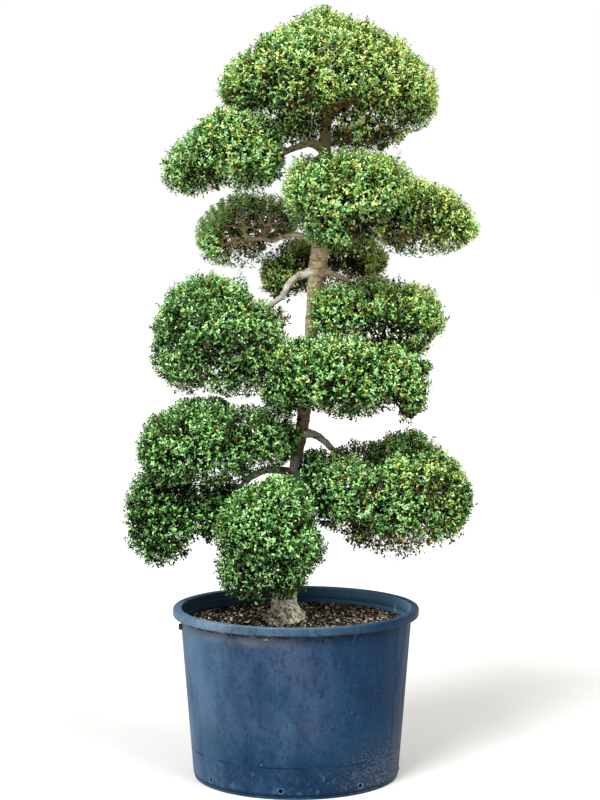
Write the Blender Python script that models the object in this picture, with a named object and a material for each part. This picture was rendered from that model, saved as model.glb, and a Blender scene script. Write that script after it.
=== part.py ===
"""Cloud-pruned small-leaved evergreen in its round nursery pot.

Metres, +Z up. The origin is the centre of the pot's flat underside, and -Y is the front.
"""

import math
import random

import bmesh
import bpy
import numpy as np
from mathutils import Vector

SEED = 17
TOUCH_GAP = 0.0003  # between parts that meet

# Pot
POT_SEGMENTS = 48
POT_HEIGHT = 0.62
RIM_RADIUS = 0.45
RIM_LIP = 0.030  # height of the turned-down lip
RIM_THICKNESS = 0.007
RIM_BEVEL = 0.003
WALL_THICKNESS = 0.006
WALL_TOP_RADIUS = 0.425
WALL_FOOT_RADIUS = 0.377
FOOT_HEIGHT = 0.012  # the narrow band under the wall
FOOT_STEP = 0.004
FLOOR_THICKNESS = 0.008
LEDGE_DROP = 0.045  # from the rim to the ledge inside the wall
LEDGE_DEPTH = 0.002
DRAIN_COUNT = 8
DRAIN_RADIUS = 0.010
DRAIN_HEIGHT = 0.032
DRAIN_TURN = -8.0  # degrees from the front to the nearest hole
DRAIN_SIDES = 12
LUG_SIZE = (0.014, 0.022, 0.020)
LUG_TURN = -80.0
LUG_HEIGHT = 0.557
TURNED_CREASE = 35.0  # degrees, above which an edge stays sharp
LIMB_CREASE = 50.0

# Soil
SOIL_EDGE = 0.560
SOIL_LEVEL = 0.570
SOIL_FLAT_RADIUS = 0.20
SOIL_GAP = 0.00045  # to the pot's wall, which is 0.3 mm square to its slope

# Limbs: the points that each one passes through, with its radius there
TRUNK_SIDES = 12
BOUGH_SIDES = 8
FLARE_ROOTS = 5
FLARE_HEIGHT = 0.07
FLARE_SWELL = 0.20
TRUNK = [
    ((-0.043, -0.030, SOIL_LEVEL + TOUCH_GAP), 0.066),
    ((-0.043, -0.030, 0.610), 0.051),
    ((-0.042, -0.030, 0.660), 0.045),
    ((-0.036, -0.026, 0.760), 0.040),
    ((-0.018, -0.014, 0.950), 0.033),
    ((-0.005, 0.000, 1.080), 0.027),
    ((0.001, 0.000, 1.160), 0.025),
    ((0.024, 0.004, 1.290), 0.026),
    ((0.057, 0.008, 1.630), 0.026),
    ((0.071, 0.004, 1.790), 0.029),
    ((0.080, 0.002, 1.865), 0.035),
    ((0.090, 0.000, 1.970), 0.030),
    ((0.105, 0.000, 2.260), 0.026),
    ((0.106, 0.000, 2.350), 0.021),
]
BOUGHS = {
    "bough_crown_left": [
        ((0.105, 0.000, 2.282), 0.019),
        ((0.056, -0.010, 2.303), 0.017),
        ((0.012, -0.024, 2.292), 0.015),
        ((-0.024, -0.034, 2.278), 0.013),
        ((-0.058, -0.042, 2.262), 0.012),
    ],
    "bough_crown_right": [
        ((0.105, 0.000, 2.292), 0.010),
        ((0.165, 0.012, 2.310), 0.008),
        ((0.215, 0.024, 2.320), 0.006),
    ],
    "bough_upper_left": [
        ((0.088, 0.000, 1.948), 0.0150),
        ((0.036, 0.012, 1.966), 0.0130),
        ((0.004, 0.030, 1.975), 0.0120),
        ((-0.040, 0.055, 1.971), 0.0110),
        ((-0.088, 0.078, 1.953), 0.0090),
    ],
    "bough_upper_right": [
        ((0.095, 0.000, 2.075), 0.014),
        ((0.175, 0.025, 2.050), 0.012),
        ((0.250, 0.025, 2.005), 0.011),
        ((0.325, 0.015, 1.945), 0.009),
    ],
    "bough_upper_back": [
        ((0.080, 0.000, 1.868), 0.013),
        ((0.088, 0.060, 1.872), 0.011),
        ((0.095, 0.100, 1.870), 0.010),
    ],
    "bough_middle_left": [
        ((0.078, 0.000, 1.846), 0.0190),
        ((0.030, -0.010, 1.833), 0.0160),
        ((-0.006, -0.018, 1.817), 0.0140),
        ((-0.030, -0.020, 1.790), 0.0125),
        ((-0.050, -0.020, 1.752), 0.0105),
    ],
    "bough_middle_right": [
        ((0.078, 0.000, 1.848), 0.017),
        ((0.125, 0.004, 1.838), 0.013),
        ((0.165, 0.014, 1.820), 0.011),
        ((0.200, 0.026, 1.802), 0.009),
    ],
    "bough_middle_back": [
        ((0.048, 0.010, 1.520), 0.014),
        ((0.070, 0.060, 1.500), 0.012),
        ((0.090, 0.100, 1.485), 0.011),
    ],
    "bough_lower_right": [
        ((0.016, 0.000, 1.256), 0.0180),
        ((0.062, -0.008, 1.253), 0.0160),
        ((0.100, -0.016, 1.230), 0.0145),
        ((0.132, -0.024, 1.197), 0.0125),
    ],
    "bough_lower_left": [
        ((-0.004, 0.000, 1.104), 0.020),
        ((-0.058, 0.000, 1.120), 0.016),
        ((-0.098, 0.000, 1.121), 0.015),
        ((-0.140, 0.000, 1.107), 0.014),
        ((-0.178, 0.000, 1.083), 0.013),
        ((-0.206, 0.000, 1.054), 0.012),
        ((-0.230, 0.000, 1.022), 0.011),
    ],
    "bough_lower_back": [
        ((-0.020, -0.016, 0.930), 0.014),
        ((-0.045, 0.035, 0.930), 0.012),
        ((-0.062, 0.080, 0.922), 0.011),
    ],
}

# Foliage. Each mass hangs on the limb named first, which its stem meets at the limb's tip, or on the
# trunk at the height given. Its space is a few rounded lobes:
# centre x, y, z, then reach across, deep, up and down, then tilt in degrees with the right side up.
MASSES = {
    "foliage_crown": (
        "trunk",
        None,
        [
            (0.12, 0.00, 2.49, 0.35, 0.36, 0.26, 0.13, 0),
            (0.30, 0.00, 2.49, 0.20, 0.28, 0.155, 0.14, 0),
            (-0.09, 0.00, 2.49, 0.18, 0.26, 0.15, 0.12, 0),
            (0.078, 0.00, 2.67, 0.10, 0.16, 0.12, 0.07, 0),
            (0.205, -0.02, 2.66, 0.09, 0.14, 0.09, 0.06, 0),
            (0.40, 0.00, 2.46, 0.11, 0.17, 0.10, 0.12, 0),
            (0.01, 0.04, 2.39, 0.15, 0.20, 0.11, 0.08, 0),
            (0.250, 0.02, 2.37, 0.160, 0.20, 0.11, 0.115, 0),
        ],
    ),
    "foliage_crown_left": (
        "bough_crown_left",
        None,
        [
            (-0.21, -0.07, 2.305, 0.16, 0.21, 0.135, 0.11, 20),
            (-0.335, -0.07, 2.22, 0.14, 0.18, 0.12, 0.10, 16),
            (-0.13, -0.05, 2.34, 0.09, 0.17, 0.09, 0.14, 0),
            (-0.17, -0.07, 2.24, 0.13, 0.17, 0.09, 0.115, 0),
        ],
    ),
    "foliage_upper_front": (
        "trunk",
        2.08,
        [
            (0.165, -0.14, 2.13, 0.215, 0.25, 0.14, 0.16, 0),
            (0.17, -0.14, 2.02, 0.15, 0.20, 0.09, 0.125, 0),
            (0.27, -0.14, 2.16, 0.13, 0.20, 0.11, 0.14, 0),
            (0.06, -0.12, 2.20, 0.08, 0.13, 0.08, 0.08, 0),
        ],
    ),
    "foliage_upper_right": (
        "bough_upper_right",
        None,
        [
            (0.485, 0.02, 2.035, 0.155, 0.20, 0.11, 0.12, -14),
            (0.41, 0.02, 2.07, 0.12, 0.19, 0.11, 0.17, -15),
            (0.59, 0.02, 1.99, 0.07, 0.12, 0.06, 0.05, 0),
        ],
    ),
    "foliage_upper_left": (
        "bough_upper_left",
        None,
        [
            (-0.165, 0.14, 2.00, 0.16, 0.19, 0.13, 0.13, 8),
            (-0.27, 0.12, 1.96, 0.09, 0.15, 0.10, 0.09, 0),
            (-0.08, 0.14, 2.02, 0.10, 0.15, 0.10, 0.09, 0),
        ],
    ),
    "foliage_upper_back": (
        "bough_upper_back",
        None,
        [
            (0.01, 0.24, 1.86, 0.15, 0.17, 0.115, 0.11, 0),
            (0.20, 0.24, 1.88, 0.14, 0.17, 0.10, 0.09, 0),
            (-0.05, 0.20, 1.81, 0.08, 0.13, 0.07, 0.08, 0),
        ],
    ),
    "foliage_middle_left": (
        "bough_middle_left",
        None,
        [
            (-0.31, -0.02, 1.63, 0.205, 0.25, 0.20, 0.20, 0),
            (-0.36, -0.02, 1.54, 0.15, 0.19, 0.13, 0.14, 0),
            (-0.17, -0.02, 1.57, 0.14, 0.18, 0.14, 0.165, 0),
            (-0.11, -0.02, 1.67, 0.08, 0.11, 0.07, 0.10, 0),
            (-0.24, -0.02, 1.50, 0.14, 0.16, 0.10, 0.11, 0),
        ],
    ),
    "foliage_middle_right": (
        "bough_middle_right",
        None,
        [
            (0.32, 0.06, 1.70, 0.22, 0.22, 0.12, 0.12, 0),
            (0.14, -0.03, 1.71, 0.10, 0.14, 0.105, 0.12, 0),
            (0.35, 0.10, 1.57, 0.12, 0.15, 0.08, 0.08, 0),
            (0.45, 0.05, 1.66, 0.09, 0.13, 0.09, 0.07, 0),
            (0.43, 0.05, 1.60, 0.07, 0.12, 0.07, 0.07, 0),
        ],
    ),
    "foliage_middle_front": (
        "trunk",
        1.45,
        [
            (0.17, -0.15, 1.46, 0.28, 0.24, 0.16, 0.14, 0),
            (0.01, -0.15, 1.49, 0.13, 0.17, 0.11, 0.13, 0),
            (-0.01, -0.13, 1.40, 0.11, 0.13, 0.08, 0.09, 0),
            (0.395, -0.12, 1.42, 0.085, 0.17, 0.11, 0.12, 0),
            (0.44, -0.12, 1.51, 0.06, 0.08, 0.04, 0.04, 0),
        ],
    ),
    "foliage_middle_back": (
        "bough_middle_back",
        None,
        [
            (0.17, 0.25, 1.45, 0.19, 0.18, 0.11, 0.10, 0),
        ],
    ),
    "foliage_lower_left_top": (
        "trunk",
        1.23,
        [
            (-0.33, -0.03, 1.24, 0.24, 0.24, 0.12, 0.17, 0),
            (-0.45, -0.03, 1.19, 0.13, 0.20, 0.10, 0.16, 0),
            (-0.12, -0.06, 1.25, 0.14, 0.18, 0.11, 0.125, 0),
            (-0.05, -0.07, 1.28, 0.07, 0.12, 0.08, 0.14, 0),
            (-0.33, -0.02, 1.32, 0.10, 0.15, 0.09, 0.07, 0),
        ],
    ),
    "foliage_lower_left": (
        "bough_lower_left",
        None,
        [
            (-0.455, 0.05, 0.96, 0.17, 0.21, 0.19, 0.13, 0),
            (-0.31, 0.04, 0.97, 0.12, 0.16, 0.17, 0.13, 0),
            (-0.495, 0.03, 0.895, 0.125, 0.15, 0.10, 0.125, -30),
        ],
    ),
    "foliage_lower_front": (
        "trunk",
        0.90,
        [
            (-0.10, -0.22, 0.92, 0.19, 0.21, 0.175, 0.19, 0),
            (-0.05, -0.20, 1.00, 0.10, 0.15, 0.12, 0.10, 0),
            (-0.145, -0.20, 0.79, 0.135, 0.15, 0.13, 0.11, 0),
            (0.01, -0.20, 0.86, 0.09, 0.14, 0.09, 0.08, 0),
            (-0.04, -0.19, 0.76, 0.08, 0.13, 0.09, 0.09, 0),
        ],
    ),
    "foliage_lower_back": (
        "bough_lower_back",
        None,
        [
            (-0.11, 0.22, 0.90, 0.16, 0.17, 0.15, 0.14, 0),
        ],
    ),
    "foliage_lower_right": (
        "bough_lower_right",
        None,
        [
            (0.40, -0.02, 1.035, 0.225, 0.25, 0.21, 0.19, 0),
            (0.40, -0.02, 1.20, 0.09, 0.14, 0.07, 0.06, 0),
            (0.08, -0.05, 1.12, 0.08, 0.12, 0.10, 0.08, 0),
            (0.18, -0.06, 1.05, 0.18, 0.20, 0.15, 0.15, 0),
            (0.34, -0.02, 0.93, 0.19, 0.18, 0.11, 0.12, 0),
            (0.51, -0.02, 0.985, 0.145, 0.18, 0.13, 0.125, 0),
            (0.20, -0.03, 1.13, 0.11, 0.14, 0.09, 0.06, 0),
        ],
    ),
}
TOP_SHOOT = (0.107, 0.000, 2.805)  # the leader that stands out of the crown
TOP_SHOOT_LENGTH = 0.12

SHOOTS_IN_ALL = 212
CORE_CORNERS_LEAST = 50
CORE_CORNERS_SHARED = 850  # dealt out to the cores by the size of their masses
LEAVES_ON_SHOOT = 3
CORE_INSET = 0.030  # how far inside the outline the solid core lies
SHOOT_INSET = 0.040  # how far inside the outline a twig ends
SPACE_GAP = 0.008  # between the foliage of two masses
CORE_GAP = 0.016
LIMB_CLEARANCE = 0.004  # from foliage to a limb
CORE_CLEARANCE = 0.012
OUTLINE_SLACK = 0.02  # how far a leaf may stand out of the outline
LOBE_BLEND = 0.012
LEAF_LENGTH = 0.082
LEAF_WIDTH = 0.046
LEAF_THICKNESS = 0.006
LEAF_WIDEST_AT = 0.45  # as a share of its length
LEAF_SUNK = 0.012
LEAF_STAGGER = 0.008  # how far below the end leaf the others start
LEAF_FORWARD = 0.75  # how much a side leaf points along its shoot, and out from it
LEAF_OUT = 0.66
LEAF_SWAY = 0.5  # how far chance turns a side leaf round its shoot
TWIG_SIDES = 3
TWIG_SUNK = 0.014  # how deep a twig's root lies in the core
TWIG_RADIUS = 0.0030
TWIG_TAPER = 1.6  # from its root to its end
TWIG_TESTS = 12  # places along a twig that are tested against the limbs
STEM_SIDES = 6
STEM_RADIUS = 0.009
STEM_BEND = 0.4  # where a stem turns towards the middle of its mass
STEM_TAPER = (1.0, 0.9, 0.7)  # at its foot, its bend and its end
FORK_REACH = 0.3  # how far towards its tips a limb runs before it forks
FORK_SWAY = 0.2  # how much chance turns a fork
SHOOT_SWAY = 0.25
SHOOT_LIFT = 0.35  # how much a shoot turns upward from the outline
TIP_CHOICE = 1500  # directions that shoots are chosen from
MARCH_STEP = 0.004
MARCH_LENGTH = 0.7

COLOURS = {
    "pot": ((0.05, 0.09, 0.15), 0.45),
    "soil": ((0.04, 0.025, 0.018), 0.95),
    "bark": ((0.23, 0.20, 0.14), 0.85),
    "leaf": ((0.07, 0.17, 0.03), 0.45),
}


def make_material(name):
    colour, roughness = COLOURS[name]
    material = bpy.data.materials.new(name)
    material.use_nodes = True
    shader = material.node_tree.nodes["Principled BSDF"]
    shader.inputs["Base Color"].default_value = (*colour, 1.0)
    shader.inputs["Roughness"].default_value = roughness
    shader.inputs["Metallic"].default_value = 0.0
    return material


def new_object(name, bm, origin=(0, 0, 0), group=None):
    """An object holding this mesh, with its own origin at the point given."""
    bmesh.ops.translate(bm, verts=bm.verts, vec=-Vector(origin))
    bmesh.ops.recalc_face_normals(bm, faces=bm.faces)
    mesh = bpy.data.meshes.new(name)
    bm.to_mesh(mesh)
    bm.free()
    obj = bpy.data.objects.new(name, mesh)
    obj.location = origin
    (group or bpy.context.scene.collection).objects.link(obj)
    return obj


def smooth(obj, angle):
    obj.data.shade_smooth()
    obj.data.set_sharp_from_angle(angle=math.radians(angle))


# Turned shapes


def turned(profile, segments):
    """A closed solid of revolution from (radius, height) points, the ends on the axis."""
    bm = bmesh.new()
    rings = []
    for radius, height in profile:
        if radius < 1e-9:
            rings.append([bm.verts.new((0, 0, height))])
            continue
        turns = (2 * math.pi * i / segments for i in range(segments))
        rings.append([bm.verts.new((radius * math.cos(a), radius * math.sin(a), height)) for a in turns])
    for lower, upper in zip(rings, rings[1:]):
        for i in range(segments):
            j = (i + 1) % segments
            corners = [lower[i % len(lower)], lower[j % len(lower)], upper[j % len(upper)], upper[i % len(upper)]]
            unique = list(dict.fromkeys(corners))
            if len(unique) > 2:
                bm.faces.new(unique)
    return bm


def wall_radius(height):
    """The outer radius of the tapered wall."""
    share = (height - FOOT_HEIGHT) / (POT_HEIGHT - RIM_THICKNESS - FOOT_HEIGHT)
    return WALL_FOOT_RADIUS + (WALL_TOP_RADIUS - WALL_FOOT_RADIUS) * share


def pot_profile():
    flange_under = POT_HEIGHT - RIM_THICKNESS
    ledge = POT_HEIGHT - LEDGE_DROP
    inner_top = wall_radius(ledge) - WALL_THICKNESS + LEDGE_DEPTH
    return [
        (0, 0),
        (WALL_FOOT_RADIUS - FOOT_STEP, 0),
        (WALL_FOOT_RADIUS - FOOT_STEP, FOOT_HEIGHT),
        (WALL_FOOT_RADIUS, FOOT_HEIGHT),
        (WALL_TOP_RADIUS, flange_under),
        (RIM_RADIUS - RIM_THICKNESS, flange_under),
        (RIM_RADIUS - RIM_THICKNESS, POT_HEIGHT - RIM_LIP),
        (RIM_RADIUS - RIM_BEVEL, POT_HEIGHT - RIM_LIP),
        (RIM_RADIUS, POT_HEIGHT - RIM_LIP + RIM_BEVEL),
        (RIM_RADIUS, POT_HEIGHT - RIM_BEVEL),
        (RIM_RADIUS - RIM_BEVEL, POT_HEIGHT),
        (inner_top + RIM_BEVEL, POT_HEIGHT),
        (inner_top, POT_HEIGHT - RIM_BEVEL),
        (inner_top, ledge),
        (wall_radius(ledge) - WALL_THICKNESS, ledge),
        (wall_radius(FLOOR_THICKNESS) - WALL_THICKNESS, FLOOR_THICKNESS),
        (0, FLOOR_THICKNESS),
    ]


def make_pot(material):
    pot = new_object("pot", turned(pot_profile(), POT_SEGMENTS))
    cutters = new_group("drains")
    for i in range(DRAIN_COUNT):
        turn = math.radians(DRAIN_TURN - 90 + 360 * i / DRAIN_COUNT)
        drain = bmesh.new()
        bmesh.ops.create_cone(
            drain,
            cap_ends=True,
            segments=DRAIN_SIDES,
            radius1=DRAIN_RADIUS,
            radius2=DRAIN_RADIUS,
            depth=8 * WALL_THICKNESS,
        )
        cutter = new_object(f"drain_{i}", drain, group=cutters)
        radius = wall_radius(DRAIN_HEIGHT)
        cutter.location = (radius * math.cos(turn), radius * math.sin(turn), DRAIN_HEIGHT)
        cutter.rotation_euler = (0, math.pi / 2, turn)
    combine(pot, cutters, "DIFFERENCE")
    lug = bmesh.new()
    bmesh.ops.create_cube(lug, size=1)
    bmesh.ops.scale(lug, verts=lug.verts, vec=LUG_SIZE)
    lugs = new_group("lugs")
    block = new_object("lug", lug, group=lugs)
    turn = math.radians(LUG_TURN - 90)
    radius = wall_radius(LUG_HEIGHT) + LUG_SIZE[0] / 2 - WALL_THICKNESS / 2
    block.location = (radius * math.cos(turn), radius * math.sin(turn), LUG_HEIGHT)
    block.rotation_euler = (0, 0, turn)
    combine(pot, lugs, "UNION")
    pot.data.materials.append(material)
    smooth(pot, TURNED_CREASE)
    return pot


def make_soil(material):
    bottom = FLOOR_THICKNESS + TOUCH_GAP
    inset = WALL_THICKNESS + SOIL_GAP
    profile = [
        (0, bottom),
        (wall_radius(bottom) - inset, bottom),
        (wall_radius(SOIL_EDGE) - inset, SOIL_EDGE),
        (SOIL_FLAT_RADIUS, SOIL_LEVEL),
        (0, SOIL_LEVEL),
    ]
    soil = new_object("soil", turned(profile, POT_SEGMENTS))
    soil.data.materials.append(material)
    smooth(soil, TURNED_CREASE)
    return soil


# Joining and cutting


# The ways to join, tried in turn until the result is one closed body
JOIN_WAYS = [
    ("EXACT", "BEAUTY"),
    ("EXACT", "EAR_CLIP"),
    ("MANIFOLD", "BEAUTY"),
    ("MANIFOLD", "EAR_CLIP"),
]


def new_group(name):
    group = bpy.data.collections.new(name)
    bpy.context.scene.collection.children.link(group)
    return group


def skins_of(bm):
    """The faces of a mesh in groups that hang together, each with its signed volume."""
    waiting = set(bm.faces)
    skins = []
    while waiting:
        skin = [waiting.pop()]
        for face in skin:
            for edge in face.edges:
                for near in edge.link_faces:
                    if near in waiting:
                        waiting.remove(near)
                        skin.append(near)
        volume = 0.0
        for face in skin:
            a = face.verts[0].co
            for b, c in zip(face.verts[1:], face.verts[2:]):
                volume += a.dot(b.co.cross(c.co)) / 6
        skins.append((volume, skin))
    return skins


def body_volume(mesh):
    """The volume inside the largest closed skin."""
    bm = bmesh.new()
    bm.from_mesh(mesh)
    largest = max((volume for volume, _ in skins_of(bm)), default=0.0)
    bm.free()
    return largest


def keep_largest(mesh, ngon_method):
    """Drops loose scraps and fills sealed hollows, then splits the faces into triangles.

    Returns whether every edge still has two faces.
    """
    bm = bmesh.new()
    bm.from_mesh(mesh)
    skins = skins_of(bm)
    best = max(range(len(skins)), key=lambda index: skins[index][0])
    extra = [face for index, (_, skin) in enumerate(skins) if index != best for face in skin]
    bmesh.ops.delete(bm, geom=extra, context="FACES")
    bmesh.ops.triangulate(bm, faces=bm.faces, ngon_method=ngon_method)
    closed = all(len(edge.link_faces) == 2 for edge in bm.edges)
    bm.to_mesh(mesh)
    bm.free()
    return closed


def combine(obj, group, operation):
    """Joins everything in the group to the object, or cuts it from it, and removes the group."""
    boolean = obj.modifiers.new(operation.lower(), "BOOLEAN")
    boolean.operation = operation
    boolean.operand_type = "COLLECTION"
    boolean.collection = group
    least = 0.99 * body_volume(obj.data) if operation == "UNION" else 0.0
    for solver, ngon_method in JOIN_WAYS:
        boolean.solver = solver
        bpy.context.view_layer.update()
        evaluated = obj.evaluated_get(bpy.context.evaluated_depsgraph_get())
        mesh = bpy.data.meshes.new_from_object(evaluated)
        if mesh.polygons and keep_largest(mesh, ngon_method) and body_volume(mesh) > least:
            break
        print(f"{obj.name}: {operation} by {solver} didn't close")
    obj.modifiers.clear()
    obj.data = mesh
    for item in list(group.objects):
        bpy.data.objects.remove(item)
    bpy.data.collections.remove(group)


# Limbs


def through(points, steps):
    """Points along the smooth curve that passes through those given (Catmull-Rom)."""
    points = np.array(points)
    padded = np.vstack([2 * points[0] - points[1], points, 2 * points[-1] - points[-2]])
    curve = []
    for i in range(1, len(padded) - 2):
        a, b, c, d = padded[i - 1 : i + 3]
        for t in np.arange(steps) / steps:
            curve.append(
                0.5 * (2 * b + (c - a) * t + (2 * a - 5 * b + 4 * c - d) * t**2 + (3 * b - a - 3 * c + d) * t**3)
            )
    curve.append(padded[-2])
    return np.array(curve)


def limb_curve(limb, steps=2):
    """Places along a limb, one row each: x, y, z and radius."""
    return through([(*place, radius) for place, radius in limb], steps)


def ring_frame(direction):
    side = Vector((0, 1, 0)).cross(direction).normalized()
    return side, direction.cross(side)


def tube(curve, sides, extra=0.0, flare=False):
    """A closed tube along rows of x, y, z, radius, with flat ends."""
    bm = bmesh.new()
    rings = []
    for i, (x, y, z, radius) in enumerate(curve):
        ahead = curve[min(i + 1, len(curve) - 1)][:3]
        behind = curve[max(i - 1, 0)][:3]
        direction = Vector(ahead - behind).normalized()
        if flare and i == 0:
            direction = Vector((0, 0, 1))
        side, front = ring_frame(direction)
        swell = max(0.0, 1 - (z - curve[0][2]) / FLARE_HEIGHT) if flare else 0.0
        ring = []
        for k in range(sides):
            turn = 2 * math.pi * k / sides
            reach = (radius + extra) * (1 + FLARE_SWELL * swell * math.cos(FLARE_ROOTS * turn))
            spot = Vector((x, y, z)) + (math.cos(turn) * side + math.sin(turn) * front) * float(reach)
            ring.append(bm.verts.new(spot))
        rings.append(ring)
    for lower, upper in zip(rings, rings[1:]):
        for k in range(sides):
            j = (k + 1) % sides
            bm.faces.new((lower[k], lower[j], upper[j], upper[k]))
    bm.faces.new(rings[0])
    bm.faces.new(rings[-1])
    return bm


def cut_by_trunk(obj, trunk_curve, clearance):
    cutters = new_group("cutters")
    new_object("trunk_cutter", tube(trunk_curve, TRUNK_SIDES, clearance), group=cutters)
    combine(obj, cutters, "DIFFERENCE")


def make_limbs(curves, material):
    trunk_curve = curves["trunk"]
    trunk = new_object("trunk", tube(trunk_curve, TRUNK_SIDES, flare=True), origin=TRUNK[0][0])
    limbs = [trunk]
    for name in BOUGHS:
        bough = new_object(name, tube(curves[name], BOUGH_SIDES), origin=BOUGHS[name][0][0])
        cut_by_trunk(bough, trunk_curve, TOUCH_GAP)
        limbs.append(bough)
    for limb in limbs:
        limb.data.materials.append(material)
        smooth(limb, LIMB_CREASE)
    return limbs


# The space that each mass keeps to


def lobe_depth(lobe, points):
    """How far points lie outside a lobe, negative inside, measured from its centre."""
    x, y, z, across, deep, up, down, tilt = lobe
    away = points - np.array((x, y, z)) + 1e-9
    turn = math.radians(tilt)
    along = away[:, 0] * math.cos(turn) + away[:, 2] * math.sin(turn)
    rise = away[:, 2] * math.cos(turn) - away[:, 0] * math.sin(turn)
    tall = np.where(rise > 0, up, down)
    share = np.sqrt((along / across) ** 2 + (away[:, 1] / deep) ** 2 + (rise / tall) ** 2)
    return np.linalg.norm(away, axis=1) * (1 - 1 / share)


def mass_depth(name, points):
    """How far points lie outside a mass, with its lobes blended into one form."""
    lobes = MASSES[name][2]
    total = sum(np.exp(-np.clip(lobe_depth(lobe, points), -0.5, 0.5) / LOBE_BLEND) for lobe in lobes)
    return -LOBE_BLEND * np.log(total)


def in_space(name, points, inset, gap):
    """Whether points lie in a mass's own space, by a gap clear of the other masses."""
    own = mass_depth(name, points)
    others = np.min([mass_depth(other, points) for other in MASSES if other != name], axis=0)
    return (own < -inset) & (own + gap < others)


def limb_clear(curves, points, clearance):
    """Whether points are clear of every limb."""
    clear = np.ones(len(points), bool)
    for curve in curves.values():
        start, end = curve[:-1, :3], curve[1:, :3]
        run = end - start
        away = points[:, None] - start[None]
        share = np.clip((away * run).sum(2) / (run * run).sum(1), 0, 1)
        gap = np.linalg.norm(away - share[..., None] * run[None], axis=2)
        radius = curve[:-1, 3] + share * (curve[1:, 3] - curve[:-1, 3])
        clear &= (gap - radius).min(1) > clearance
    return clear


def heart_of(name):
    """The middle of a mass, weighted by the size of its lobes."""
    lobes = np.array(MASSES[name][2])
    weight = lobes[:, 3] * lobes[:, 4] * (lobes[:, 5] + lobes[:, 6])
    lifted = lobes[:, :3] + np.array((0, 0, 1)) * ((lobes[:, 5] - lobes[:, 6]) / 4)[:, None]
    return (lifted * weight[:, None]).sum(0) / weight.sum()


def reach_along(name, heart, directions, inset, gap):
    """How far each direction can be followed from the heart before the space ends."""
    steps = np.arange(1, int(MARCH_LENGTH / MARCH_STEP)) * MARCH_STEP
    points = heart + directions[:, None] * steps[None, :, None]
    inside = in_space(name, points.reshape(-1, 3), inset, gap).reshape(len(directions), -1)
    first_out = np.argmin(inside, axis=1)
    return steps[np.maximum(first_out - 1, 0)]


def outward(name, points):
    """The direction in which the outline of a mass faces at each point."""
    steps = MARCH_STEP * np.eye(3)
    slopes = [mass_depth(name, points + step) - mass_depth(name, points - step) for step in steps]
    slope = np.stack(slopes, 1)
    return slope / np.linalg.norm(slope, axis=1)[:, None]


# Foliage


def spread_directions(count):
    """Directions spread evenly over a sphere, on a golden spiral."""
    index = np.arange(count) + 0.5
    height = 1 - 2 * index / count
    turn = math.pi * (1 + math.sqrt(5)) * index
    flat = np.sqrt(1 - height**2)
    return np.stack([flat * np.cos(turn), flat * np.sin(turn), height], 1)


def core_mesh(name, heart, corners):
    """A ball with this many corners, each drawn out to where the core's space ends."""
    bm = bmesh.new()
    directions = spread_directions(corners)
    verts = [bm.verts.new(direction) for direction in directions]
    bmesh.ops.convex_hull(bm, input=verts)
    reaches = reach_along(name, heart, directions, CORE_INSET, CORE_GAP)
    for vert, direction, reach in zip(verts, directions, reaches):
        vert.co = heart + direction * reach
    return bm


def shoot_tips(name, heart, count):
    """Ends for the shoots of a mass, just inside its outline: its furthest points, then evenly between."""
    directions = spread_directions(TIP_CHOICE)
    reaches = reach_along(name, heart, directions, SHOOT_INSET, SPACE_GAP)
    places = heart + directions * reaches[:, None]
    outline = mass_depth(name, places) > -SHOOT_INSET - 2 * MARCH_STEP
    places = places[outline]
    furthest = [int(index) for index in (*np.argmax(places, 0), *np.argmin(places, 0))]
    chosen = list(dict.fromkeys(furthest))[:count]
    gaps = np.min([np.linalg.norm(places - places[index], axis=1) for index in chosen], axis=0)
    while len(chosen) < count:
        chosen.append(int(np.argmax(gaps)))
        gaps = np.minimum(gaps, np.linalg.norm(places - places[chosen[-1]], axis=1))
    return places[chosen]


def grow(start, tips, rng, limbs):
    """Leads a limb towards its tips, forks it in two, and so on until each tip has a twig."""
    if len(tips) == 1:
        limbs.append((start, tips[0], 1))
        return
    middle = tips.mean(0)
    knot = start + (middle - start) * FORK_REACH
    limbs.append((start, knot, len(tips)))
    spread = np.linalg.svd(tips - middle, full_matrices=False)[2][0]
    spread = spread + np.array([rng.uniform(-FORK_SWAY, FORK_SWAY) for _ in range(3)])
    order = np.argsort((tips - middle) @ spread)
    half = len(tips) // 2
    for side in (order[:half], order[half:]):
        grow(knot, tips[side], rng, limbs)


def twig_root(name, heart, curves, start, end):
    """Where the twig from start to end leaves the core, taken well inside it; None if it never meets it."""
    count = int(np.linalg.norm(end - start) / MARCH_STEP) + 2
    track = end + (start - end) * np.linspace(0, 1, count)[:, None]
    away = np.linalg.norm(track - heart, axis=1)
    reaches = reach_along(name, heart, (track - heart) / away[:, None], CORE_INSET, CORE_GAP)
    sunk = (reaches - away > TWIG_SUNK) & limb_clear(curves, track, CORE_CLEARANCE + TWIG_SUNK)
    return track[np.argmax(sunk)] if sunk.any() else None


def leaf_corners(root, direction, side):
    """Root, tip, left, right, top and bottom of a leaf."""
    face = np.cross(direction, side)
    middle = root + direction * LEAF_LENGTH * LEAF_WIDEST_AT
    return np.array(
        [
            root,
            root + direction * LEAF_LENGTH,
            middle + side * LEAF_WIDTH / 2,
            middle - side * LEAF_WIDTH / 2,
            middle + face * LEAF_THICKNESS / 2,
            middle - face * LEAF_THICKNESS / 2,
        ]
    )


def leaf_mesh(corners):
    bm = bmesh.new()
    root, tip, left, right, top, bottom = [bm.verts.new(corner) for corner in corners]
    for end in (root, tip):
        for flank in (left, right):
            for face in (top, bottom):
                bm.faces.new((end, flank, face))
    return bm


def leaf_samples(corners):
    """Points all over a leaf, to test its clearances."""
    root, tip, left, right, top, bottom = corners
    samples = list(corners)
    for a, b in ((root, tip), (left, right), (root, left), (root, right), (tip, left), (tip, right)):
        samples += [a + (b - a) * share for share in (0.25, 0.5, 0.75)]
    return np.array(samples)


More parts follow.
